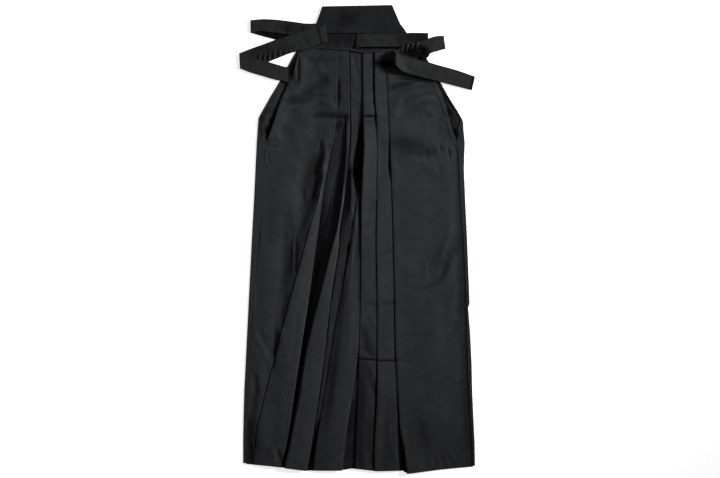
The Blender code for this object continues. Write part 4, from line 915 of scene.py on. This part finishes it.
def backPanel(name, side, material):
    stations = list(np.arange(back["top"], back["length"] - 2.5, back["spacing"])) + [back["length"]]
    grid = smoothPath(np.array([backPath(down, side) for down in stations]), backSteps)
    x, z, paintedShadeAndMottle = grid[..., 0], grid[..., 1], grid[..., 2]
    down = np.broadcast_to(np.array(stations, float)[:, None], x.shape)
    inside = smooth((back["creasedTo"] - down) / back["creasedRun"])
    # in the slits the cloth is open to the light, and so is its strip above the front; there it takes
    # a painted shade of its own, light in the slits and darker above the front
    edge = np.abs(edgeAt("sideLeft" if side < 0 else "sideRight", down))
    shown = np.maximum(smooth((np.abs(x) - edge) / 5.0), smooth((-4 - down) / 6.0))
    z = z + inside * shown * creaseLift(x, down, backCreases)
    dimples = 0.5 + 0.5 * handWrinkles(x, down, back["dimpleSize"], back["dimpleSeed"])
    z = z + back["dimple"] * inside * shown * dimples
    shownShade = lerp(back["openShade"], back["aboveShade"], smooth((-2 - down) / 5.0))
    paintedShadeAndMottle = np.maximum(paintedShadeAndMottle * (1 - shown), shownShade * shown)
    downs, widths = zip(*slitShades[side])
    width = np.interp(down, downs, widths, left=0)
    dusk = smooth((edge + width - np.abs(x)) / 2.0 + 0.5) * (down >= downs[0]) * (down <= downs[-1])
    paintedShadeAndMottle = np.maximum(paintedShadeAndMottle, back["slitShade"] * dusk)
    z = z - np.minimum(back["slitDrop"] * dusk, z - back["wall"] / 2)
    paintedShadeAndMottle = np.maximum(paintedShadeAndMottle, creaseDarkness(x, down, backCreases) * inside)
    y = waistY - down + readEdge(hemEdge, x) * np.maximum(down, 0) / frontLength
    piece = clothFromGrid(name + "Cloth", np.stack([x, y, z], axis=2), material, np.clip(paintedShadeAndMottle, 0, 1),
                          wall=back["wall"], flip=side < 0)
    shadeUnderside(piece)
    return piece


def shadeUnderside(piece):
    # it lies on the floor and takes none of the slits' painted shade: only its seam and its two pleats show,
    # as lines of painted shade
    count = len(piece.data.vertices)
    places, facing, shades = np.zeros(count * 3), np.zeros(count * 3), np.zeros(count)
    values = piece.data.attributes["paintedShadeAndMottle"].data
    piece.data.vertices.foreach_get("co", places)
    piece.data.vertices.foreach_get("normal", facing)
    values.foreach_get("value", shades)
    below = (facing[2::3] < -0.5) & (places[2::3] < 1.1 * mm)
    across, down = np.abs(places[0::3]) / mm, waistY - middleY - places[1::3] / mm
    pleat = lerp(back["pleatTop"], back["pleatHem"], np.clip(down, 0, frontLength) / frontLength)
    lines = np.maximum(smooth((back["lineWidth"] - np.abs(across - pleat)) / 1.6),
                       smooth(back["seamWidth"] - across))
    shades[below] = np.maximum(back["underShade"] * shades, back["lineShade"] * lines)[below]
    values.foreach_set("value", shades)


# Inner leg pieces, flat between front and back: down and across at their outer edges.
gussets = {"outer": ((430, 16), (690, 38), (936, 58)), "inner": 1.0, "level": 2.0, "wall": 0.6,
           "wrinkle": 0.12, "wrinkleSize": 40.0}


def gusset(name, side, material):
    downs, widths = zip(*gussets["outer"])
    stations = np.linspace(downs[0], downs[-1], 60)
    outer = np.interp(stations, downs, widths)[:, None]
    x = side * (gussets["inner"] + (outer - gussets["inner"]) * np.linspace(0, 1, 12))
    y = np.broadcast_to((waistY - stations)[:, None], x.shape)
    z = gussets["level"] + gussets["wrinkle"] * handWrinkles(x, y, gussets["wrinkleSize"], 5.5)
    # painted shade all over, as it lies hidden between front and back
    return clothFromGrid(name + "Cloth", np.stack([x, y, z], axis=2), material, np.ones(x.shape),
                         wall=gussets["wall"], flip=side < 0)


# Ties: runs of sections, each a line from the upper edge to the lower edge of the band.
tieRuns = {
    "back_strap_left": [
        [(-90, 486.6, 2.2, -104.5, 456.5, 3.8), (-117.5, 486.5, 3.6, -131, 456.5, 4),
         (-146.5, 490.5, 3.6, -155.5, 461, 3.6), (-185, 495, 3.5, -185, 464.5, 3.5),
         (-214, 496, 3.5, -214, 468, 3.5), (-238, 494, 3.4, -238, 465, 3.4)],
        [(-238, 494, 1.1, -238, 465, 1.1), (-214, 488, 1.1, -214, 458, 1.1),
         (-185, 480, 1.1, -185, 450.5, 1.1), (-156, 472.5, 1.1, -157, 443.5, 1.1),
         (-130, 466, 1.1, -131, 438, 1.1), (-116, 463, 1.1, -117, 436, 1.1)],
    ],
    "front_strap_left": [
        [(-124, 403, 2.4, -141.5, 350.5, 2.4), (-139.5, 396, 2.7, -151, 351.5, 2.7),
         (-157, 388.5, 4.3, -164.5, 355.5, 4.3), (-180.5, 394, 4.4, -185, 359.5, 4.4),
         (-209, 403, 4.1, -214, 368, 4.1), (-240.5, 412, 3.9, -241, 376, 3.9),
         (-263, 419.5, 3.8, -261.5, 384, 3.8)],
        [(-263, 420.5, 1.2, -261.5, 384.5, 1.2), (-236.5, 431, 1.2, -234.5, 389, 1.2),
         (-205, 442, 1.5, -200.5, 400, 1.5), (-180.5, 451, 3.4, -171.5, 411, 2.6),
         (-158.5, 458, 6, -147.5, 420, 5.2), (-124, 469, 6.6, -115, 427.5, 6.2),
         (-92.5, 477.5, 6.4, -82.5, 439.5, 6.2), (-71.5, 484.5, 6, -66, 444, 5.9)],
    ],
    "back_strap_right": [
        [(96, 486, 2.6, 97, 462, 3.2), (105.5, 475, 3.2, 106, 450, 3.8), (112.5, 465, 3.9, 121, 436.5, 4.1),
         (132.5, 464, 4.1, 137, 436.5, 4.1), (157.5, 464, 4, 157.5, 435.5, 4)],
        [(157.5, 464.5, 6.6, 157.5, 434, 6.6), (132.5, 465, 6.8, 132.5, 433, 6.8),
         (105.5, 464.5, 6.8, 105.5, 432.5, 7.4), (69.5, 463.9, 5.2, 69.5, 432.5, 6.6),
         (29, 463.9, 3.8, 29, 432.5, 6), (8, 463.9, 3, 8, 432, 4.6), (-1, 463.9, 2.2, -1, 431.8, 3.6)],
        [(-1, 463.9, 0.9, -1, 431.8, 2), (24.5, 463.5, 1.2, 24.5, 433, 3.6),
         (60.5, 463, 2.6, 60.5, 434, 4.2)],
    ],
    "front_strap_right": [
        [(133, 424.5, 3.8, 147, 400.5, 3.8), (147, 430, 4.2, 160, 411.5, 4.1),
         (163, 432, 4.4, 165, 419, 4.2), (178.5, 443.5, 5, 180.5, 424, 5),
         (192, 456.5, 5.2, 196, 428, 5.2)],
        [(192, 458, 8.6, 196, 428, 8.6), (174.5, 456.5, 9, 182, 424.5, 8.8),
         (156.5, 450.5, 9.6, 164, 419.5, 9.2), (137, 444, 10.6, 143.5, 413, 9.6),
         (119, 439, 12, 123.5, 407, 10), (102, 433, 12.4, 104, 400.5, 10.4),
         (88, 426, 11.6, 88, 394, 10.8)],
        [(88, 420, 23, 88, 388.5, 21.5), (97.5, 414, 20.5, 97.5, 379.5, 17),
         (114.5, 409.5, 15.5, 114.5, 372, 11.5), (137, 404, 11.8, 132.5, 367.5, 8.2),
         (162, 398, 9.2, 157, 361.5, 6.6), (186.5, 391, 7.4, 182, 355, 5.8),
         (222.5, 381.5, 4.8, 218, 346, 3.8), (265, 367, 2.6, 258, 336, 2.2)],
    ],
}
tie = {
    "wall": 1.8, "puff": 0.1, "rows": (0.07, 0.35, 0.65, 0.93), "groove": 0.12, "step": 2.5, "turnSteps": 12,
    "stitch": 2.7, "stitchGap": 1.0, "threadWidth": 0.42, "stitchSit": 0.2, "edgeShade": 0.65, "ease": 0.18,
    "hems": {"front_strap_left": 17.0, "front_strap_right": 4.5},      # ends turned in, and how far
    "hemRise": 0.35, "hemGroove": 1.7, "hemShade": 1.3,
    "edgeRound": 0.55, "edgeFlat": 0.5, "pillowWidth": 3.5, "pillowShape": 0.6,
    "creaseReach": 1.5, "easeSize": 21.0, "shadeWidth": 1.8,
}
# Folds and gathers of each tie: along it and across it from its upper edge, both ends, half width, height,
# and the painted shade inside it.
tieCreases = {
    "back_strap_left": [(10, 0, 22, 24, 5, -0.9, 0.4), (32, 6, 28, 28, 4, -0.9, 0.5),
        (48, 8, 52, 28, 6, 0.7), (66, 8, 62, 26, 5, -0.7, 0.4), (84, 12, 92, 26, 6, -0.5, 0.3),
        (96, 6, 104, 28, 8, 0.6), (120, 4, 126, 20, 7, -0.4, 0.2)],
    "front_strap_left": [(166, 42, 168, 22, 2.2, -1.6, 0.8), (171, 42, 173, 26, 2, 1.2),
        (176, 42, 178, 18, 2.4, -2, 0.95), (182, 42, 183, 26, 2, 1.2), (187, 42, 190, 20, 2.4, -2, 0.95),
        (193, 42, 194, 28, 2, 1.1), (198, 42, 201, 23, 2.4, -1.9, 0.95), (204, 42, 205, 30, 2, 1.1),
        (209, 42, 212, 26, 2.2, -1.8, 0.95), (216, 41, 217, 30, 2, 1), (221, 41, 224, 27, 2.2, -1.7, 0.9),
        (228, 41, 229, 31, 2, 0.9), (234, 41, 237, 28, 2, -1.5, 0.9), (246, 41, 248, 32, 2, -1.2, 0.8),
        (258, 40, 260, 33, 2.2, -0.9, 0.6), (270, 40, 271, 34, 2.2, -0.7, 0.5),
        (150, 12, 176, 6, 6, -0.5, 0.3), (290, 8, 296, 34, 7, -0.5, 0.15), (228, 6, 262, 16, 6, 0.5)],
    "back_strap_right": [(100, 2, 106, 30, 7, -0.5), (140, 6, 136, 28, 8, 0.5), (182, 4, 188, 28, 8, -0.5)],
    "front_strap_right": [(118, 2, 126, 16, 3, -1.6, 0.7), (124, 0, 131, 12, 2.2, 1.8),
        (130, 1, 137, 12, 2.4, -2.2, 0.98), (136, 0, 142, 10, 2, 1.9), (142, 1, 149, 13, 2.6, -2.2, 0.98),
        (149, 0, 154, 9, 2, 1.9), (155, 1, 160, 14, 2.4, -1.8, 0.9), (162, 0, 165, 9, 2.2, 1.6),
        (168, 4, 172, 18, 3, -1, 0.5), (112, 12, 122, 28, 6, -1.2, 0.5), (90, 4, 96, 26, 8, 0.5),
        (206, 4, 224, 26, 9, -0.9), (236, 2, 252, 28, 9, 0.7), (276, 30, 288, 4, 10, -0.6),
        (318, 4, 330, 28, 10, 0.5)],
}
# Where a tie lies in shadow under itself or the cloth: middle, reach, darkness, and the height up to which.
tieShades = {
    "back_strap_left": [(-170, 462, 62, 34, 0.9, 2.3), (-118, 460, 14, 26, 0.5, 9),
        (-150, 478, 30, 14, 0.4, 9)],
    "front_strap_left": [(-143, 376, 13, 34, 0.97, 6), (-216, 424, 34, 18, 0.35, 3.6)],
    "back_strap_right": [(134, 456, 26, 18, 0.6, 9), (106, 448, 16, 22, 0.45, 9)],
    "front_strap_right": [(134, 422, 30, 17, 0.99, 13), (110, 425, 14, 12, 0.95, 13),
        (150, 416, 24, 20, 0.9, 8)],
}


def bandSections(runs, step, turnSteps=2):
    # closely spaced sections along smooth curves through each run, with half a circle at each turn
    sections = []
    for index, rows in enumerate(runs):
        rows = np.array(rows, float)
        run = []
        for i in range(len(rows) - 1):
            p0, p1, p2, p3 = rows[max(i - 1, 0)], rows[i], rows[i + 1], rows[min(i + 2, len(rows) - 1)]
            count = max(2, int(round(np.linalg.norm((p2 - p1)[:3]) / step)))
            for k in range(count):
                t = k / count
                run.append(0.5 * (2 * p1 + (p2 - p0) * t + (2 * p0 - 5 * p1 + 4 * p2 - p3) * t * t
                                  + (3 * p1 - p0 - 3 * p2 + p3) * t ** 3))
        run.append(rows[-1])
        if index > 0:
            before, start, end = sections[-2], sections[-1], run[0]
            travel = 1.0 if start[0] > before[0] else -1.0
            for k in range(1, turnSteps):
                angle = pi * k / turnSteps
                turned = lerp(start, end, (1 - cos(angle)) / 2)
                for x, z in ((0, 2), (3, 5)):
                    turned[x] += travel * abs(end[z] - start[z]) / 2 * sin(angle)
                sections.append(turned)
        sections += run
    return np.array(sections)


def acrossShares(rows, width):
    # points across a band: close together at its edges and at its rows of stitches
    near = 0.9 / width
    shares = [0, 0.25 / width, 0.7 / width]
    for i, row in enumerate(rows):
        shares += [row - near, row, row + near]
        if i < len(rows) - 1:
            shares += [lerp(row, rows[i + 1], t) for t in (0.22, 0.5, 0.78)]
    return np.array(shares + [1 - 0.7 / width, 1 - 0.25 / width, 1])


def ringFaces(rings, count, across):
    # sides of a band whose sections are rings of points, then a cap at each end
    faces = [(i + j, i + (j + 1) % count, i + count + (j + 1) % count, i + count + j)
             for i in range(0, (rings - 1) * count, count) for j in range(count)]
    last, edge = (rings - 1) * count, across - 2
    for j in range(edge):
        far, farther = (count - j) % count, (count - j - 1) % count
        cap = (j, far, farther, j + 1) if j else (0, farther, 1)
        faces += [cap, (last + j, *[last + k for k in cap[:0:-1]])]
    return faces + [(edge, edge + 2, edge + 1), (last + edge, last + edge + 1, last + edge + 2)]


def roundedUp(t):
    # from 0 to 1 like a quarter of a circle
    return np.sqrt(1 - (1 - np.clip(t, 0, 1)) ** 2)


def bandPiece(name, sections, material, shape, creases=(), endHem=None, shades=()):
    a, b = sections[:, :3], sections[:, 3:]
    middle, widths = (a + b) / 2, np.linalg.norm(b - a, axis=1)
    normal = np.cross(np.gradient(middle, axis=0), b - a)
    normal /= np.linalg.norm(normal, axis=1, keepdims=True)
    along, width = lengthsAlong(middle), widths.mean()
    shares = acrossShares(shape["rows"], width)
    s = np.broadcast_to(along[:, None], (len(along), len(shares)))
    w = shares[None, :] * widths[:, None]
    upwards = np.where(normal[:, 2] < 0, -1.0, 1.0)[:, None]
    lift, dark = np.zeros(s.shape), creaseDarkness(s, w, creases)
    for fold in creases:
        lift = lift + fold[5] * smooth(1 - segmentShare(s, w, fold)[1] / (shape["creaseReach"] * fold[4]))
    lift = lift + shape["ease"] * handWrinkles(s, w, shape["easeSize"], len(name) + 0.5)
    # half the thickness: rounded at the edges, drawn in at the rows of stitches, puffed up between them
    edge = np.minimum(shares, 1 - shares) * width
    half = 0.5 * shape["wall"] * roundedUp(edge / (shape["edgeRound"] * shape["wall"]))
    fromRow = np.min([np.abs(shares - row) for row in shape["rows"]], axis=0) * width
    pillow = np.clip(fromRow / shape["pillowWidth"], 0, 1) ** shape["pillowShape"]
    inner = edge > shape["edgeFlat"]
    half = np.where(inner, half + shape["puff"] * pillow - shape["groove"] * (1 - pillow), half)
    half = np.broadcast_to(half[None, :], s.shape).copy()
    fromEnd = along[-1] - along
    if endHem:
        # the end is turned in and stitched across: thicker past a groove, which takes painted shade
        groove = bell(fromEnd - endHem, shape["hemGroove"])[:, None]
        turnedIn = smooth((endHem - 1.5 - fromEnd) / 1.5)[:, None]
        half += shape["hemRise"] * (turnedIn - groove) * inner[None, :]
        dark = np.maximum(dark, np.minimum(shape["hemShade"] * groove, 1.0))
    half *= roundedUp((np.minimum(fromEnd, along)[:, None] + 0.12) / 0.9)
    middle = a[:, None] + (b - a)[:, None] * shares[None, :, None]
    middle = middle + (normal * upwards)[:, None] * lift[..., None]
    top, low = middle + normal[:, None] * half[..., None], middle - normal[:, None] * half[..., None]
    for face in (top, low):
        face[..., 2] = np.maximum(face[..., 2], 0.05)
    ring = np.concatenate([low, top[:, -2:0:-1]], axis=1)
    # painted shade along both edges of the band, and where a tie lies under itself or the cloth
    dark = np.maximum(dark, shape["edgeShade"] * smooth((shape["shadeWidth"] - edge) / 1.1)[None, :])
    dark = np.concatenate([dark, dark[:, -2:0:-1]], axis=1)
    for x, y, reachX, reachY, strength, highest in shades:
        away = np.sqrt(((ring[..., 0] - x) / reachX) ** 2 + ((ring[..., 1] - y) / reachY) ** 2)
        dark = np.maximum(dark, strength * smooth(2.2 * (1.15 - away)) * (ring[..., 2] < highest))
    ringW = np.concatenate([w, 2 * width - w[:, -2:0:-1]], axis=1)
    cut = np.stack([ringW, np.broadcast_to(along[:, None], ringW.shape)], axis=2)
    piece = newPiece(name, ring, ringFaces(*ring.shape[:2], len(shares)), material, cut, dark)
    smoothEdges(piece, 60)
    return piece, top, low, normal, along, shares


def stitchShape():
    # one stitch, 1 mm long, wide and high: a rounded grain with flattened ends
    bpy.ops.object.select_all(action="DESELECT")
    bpy.ops.mesh.primitive_uv_sphere_add(segments=6, ring_count=4, radius=0.5, rotation=(0, pi / 2, 0))
    grain = bpy.context.object
    bpy.ops.object.transform_apply(location=False, rotation=True, scale=False)
    mesh = grain.data
    points, faces = np.array([v.co for v in mesh.vertices]), [tuple(f.vertices) for f in mesh.polygons]
    bpy.data.objects.remove(grain)
    bpy.data.meshes.remove(mesh)
    return points, faces


def pointAt(distance, along, line):
    return np.array([np.interp(distance, along, line[:, k]) for k in range(3)])


def sewing(name, rows, thread):
    # rows: a line of points and their normals; stitches lie end to end along each of them
    shape, shapeFaces = stitchShape()
    length, width, height = tie["stitch"], tie["threadWidth"], 0.8 * tie["threadWidth"]
    points, faces = [], []
    for line, normals in rows:
        along = lengthsAlong(line)
        for start in np.arange(0.6, along[-1] - length - 0.4, length + tie["stitchGap"]):
            p, q = pointAt(start, along, line), pointAt(start + length, along, line)
            n = pointAt(start, along, normals)
            way = (q - p) / max(np.linalg.norm(q - p), 1e-6)
            n = n - way * n.dot(way)
            n /= max(np.linalg.norm(n), 1e-6)
            faces += [tuple(len(points) * len(shape) + i for i in f) for f in shapeFaces]
            points.append((p + q) / 2 + n * tie["stitchSit"] * height + shape[:, :1] * way * length
                          + shape[:, 1:2] * np.cross(n, way) * width + shape[:, 2:] * n * height)
    points = np.concatenate(points)
    points[:, 2] = np.maximum(points[:, 2], 0.02)
    piece = newPiece(name, points, faces, thread)
    piece.data.shade_smooth()
    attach(piece, "root")
    return piece


def strap(node, material, thread):
    sections = bandSections(tieRuns[node], tie["step"], tie["turnSteps"])
    endHem = tie["hems"].get(node)
    piece, top, low, normal, along, shares = bandPiece(
        node + "Cloth", sections, material, tie, tieCreases[node], endHem, tieShades[node])
    rows = []
    for row in tie["rows"]:
        j = int(np.argmin(np.abs(shares - row)))
        rows += [(top[:, j], normal), (low[:, j], -normal)]
    if endHem:
        i = int(np.argmin(np.abs(along[-1] - along - endHem)))
        facing = np.repeat(normal[i:i + 1], len(shares) - 4, axis=0)
        rows += [(top[i, 2:-2], facing), (low[i, 2:-2], -facing)]
    return piece, sewing(node + "Stitching", rows, thread)


# The narrow edge along the front's top, over the pleats.
binding = dict(tie, wall=1.0, puff=0.1, groove=0.15, rows=(0.2, 0.8), ease=0.054, step=4.0,
               above=0.4, below=4.6, clear=1.3, overEdges=0.1, slopeDown=32.0)


def waistBinding(material):
    x, h = readRows(frontRows, frontColumns, 0), readRows(liftRows, liftColumns, 0)
    stops = [(x["sideLeft"] + 0.6, 0.0), (-108.0, 0.0), (x["wedge1Right"] - 43.0, 0.2),
             (-62.0, 0.6 * h["wedge1Right"])]
    stops += [(x[name], h[name] + binding["overEdges"])
              for name in ("wedge1Right", "wedge2Right", "centre", "strip", "panel")]
    stops += [(x["panel"] + 25.0, 0.6 * h["panel"]), (x["panel"] + 50.0, 0.2), (x["sideRight"] - 0.6, 0.0)]
    rows, run = [], binding["slopeDown"]
    for across, lift in stops:
        here, there = ground(np.array([across, across]), np.array([0.0, run]))
        y, z = waistY + readEdge(topEdge, across), here + lift + binding["clear"]
        rise = max((there - here) * (binding["above"] + binding["below"]) / run, 0.0)
        rows.append((across, y + binding["above"], z, across, y - binding["below"], z + rise))
    return bandPiece("waistBindingCloth", bandSections([rows], binding["step"]), material, binding)[0]


# Koshi-ita, the stiff board at the back waist, covered with cloth.
board = {
    "corners": [(-101, 464.2), (104.5, 464.2), (98.5, 481.5), (78.5, 528), (-78.5, 525)],
    "thickness": 4.0, "edge": 1.1, "edgeParts": 4, "edgeShape": 0.6, "gridEvery": 7.0, "slack": 0.45,
    "unevenness": ((24, 0.3, 4.4), (9, 0.12, 8.1)),        # size, height, seed
    "darkPatch": (-26, 494, 46, 24, 0.45),                 # middle, reach, darkness
    "mottle": 0.3, "mottleSize": (17, 12), "mottleSeed": 2.7,
}
# The cloth's slack on the board: across, height at each end, half width, depth.
boardFolds = [
    (-60, 500, -20, 488, 12, -0.5), (-10, 508, 30, 496, 12, 0.4), (20, 484, 70, 478, 10, -0.5),
    (-70, 478, -30, 474, 9, -0.5), (50, 512, 76, 500, 10, -0.4), (-50, 516, 10, 518, 9, 0.3),
    (70, 488, 92, 474, 7, -0.5),
]


def boardBlock():
    # the board's outline raised to its thickness, with rounded edges and a grid of cuts for its slack
    bpy.ops.object.select_all(action="DESELECT")
    bpy.ops.mesh.primitive_circle_add(vertices=len(board["corners"]), fill_type="NGON", radius=0.05)
    piece = bpy.context.object
    piece.name = "koshiItaCovered"
    for vertex, (x, y) in zip(piece.data.vertices, board["corners"]):
        vertex.co = (x * mm, (y - middleY) * mm, 0.0)
    height = board["thickness"] * mm
    bpy.ops.object.mode_set(mode="EDIT")
    bpy.ops.mesh.select_mode(type="FACE")
    bpy.ops.mesh.select_all(action="SELECT")
    bpy.ops.mesh.extrude_region_move(TRANSFORM_OT_translate={"value": (0, 0, height)})
    bpy.ops.mesh.select_all(action="SELECT")
    bpy.ops.mesh.normals_make_consistent(inside=False)
    bpy.ops.object.mode_set(mode="OBJECT")
    for edge in piece.data.edges:
        ends = [piece.data.vertices[i].co.z for i in edge.vertices]
        edge.select = min(ends) > 0.5 * height or max(ends) - min(ends) > 1e-4
    bpy.ops.object.mode_set(mode="EDIT")
    bpy.ops.mesh.select_mode(type="EDGE")
    bpy.ops.mesh.bevel(offset=board["edge"] * mm, segments=board["edgeParts"], profile=board["edgeShape"])
    (lowX, lowY), highX, highY = board["corners"][0], board["corners"][1][0], board["corners"][3][1]
    cuts = [((x, 0), (1, 0, 0)) for x in np.arange(lowX + 3, highX, board["gridEvery"])]
    cuts += [((0, y - middleY), (0, 1, 0)) for y in np.arange(lowY + 3, highY, board["gridEvery"])]
    for (x, y), way in cuts:
        bpy.ops.mesh.select_all(action="SELECT")
        bpy.ops.mesh.bisect(plane_co=(x * mm, y * mm, 0), plane_no=way)
    bpy.ops.object.mode_set(mode="OBJECT")
    return piece


def koshiBoard(material):
    piece = boardBlock()
    mesh = piece.data
    for vertex in mesh.vertices:
        x, y, z = vertex.co / mm
        if z > 0.9 * board["thickness"]:
            spot = np.array([x]), np.array([y + middleY])
            slack = sum(height * noise.noise(Vector((x / size, y / size, seed)))
                        for size, height, seed in board["unevenness"])
            for fold in boardFolds:
                slack += fold[5] * float(smooth(1 - segmentShare(*spot, fold)[1] / (foldReach * fold[4]))[0])
            vertex.co.z += board["slack"] * slack * mm
    layer = mesh.uv_layers.active or mesh.uv_layers.new(name="cloth")
    layer.name = "cloth"
    for loop in mesh.loops:
        co = mesh.vertices[loop.vertex_index].co
        layer.data[loop.index].uv = (co.x + co.z, co.y + co.z)
    darkX, darkY, reachX, reachY, darkness = board["darkPatch"]
    (sizeX, sizeY), seed = board["mottleSize"], board["mottleSeed"]
    for vertex, shade in zip(mesh.vertices, mesh.attributes.new("paintedShadeAndMottle", "FLOAT", "POINT").data):
        x, y = vertex.co.x / mm, vertex.co.y / mm + middleY
        patch = smooth(1.1 - np.hypot((x - darkX) / reachX, (y - darkY) / reachY))
        clouds = noise.noise(Vector((x / sizeX, y / sizeY, seed)))
        shade.value = max(0.0, darkness * patch + board["mottle"] * clouds)
    mesh.materials.append(material)
    smoothEdges(piece, 35)
    return piece


makeStudio()
print("studio made")
twill = wovenTwill("blackTwill", panelCloth)
innerTwill = wovenTwill("blackTwillInside", backCloth)
tieTwill = wovenTwill("topstitchedTieTwill", tieCloth)
boardTwill = wovenTwill("boardCoverTwill", boardCloth)
thread = spunThread("spunThread", "#2b2b2a")

made, sewn = {}, {}
made["front_left"] = frontPanel("front_left", leftFrontPath, leftHollows, twill)
made["front_right"] = frontPanel("front_right", rightFrontPath, rightHollows, twill)
print("front panels made")
for kind, make, cloth in (("back", backPanel, twill), ("gusset", gusset, innerTwill)):
    for side, sign in (("left", -1), ("right", 1)):
        made[f"{kind}_{side}"] = make(f"{kind}_{side}", sign, cloth)
print("back panels and gussets made")
made["waist_binding"] = waistBinding(twill)
made["koshi_ita"] = koshiBoard(boardTwill)
print("waist made")
for node in tieRuns:
    made[node], sewn[node] = strap(node, tieTwill, thread)
print("straps made")

for node, piece in made.items():
    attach(piece, "root")
    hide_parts(node)
print("faces", {piece.name: len(piece.data.polygons) for piece in list(made.values()) + list(sewn.values())})
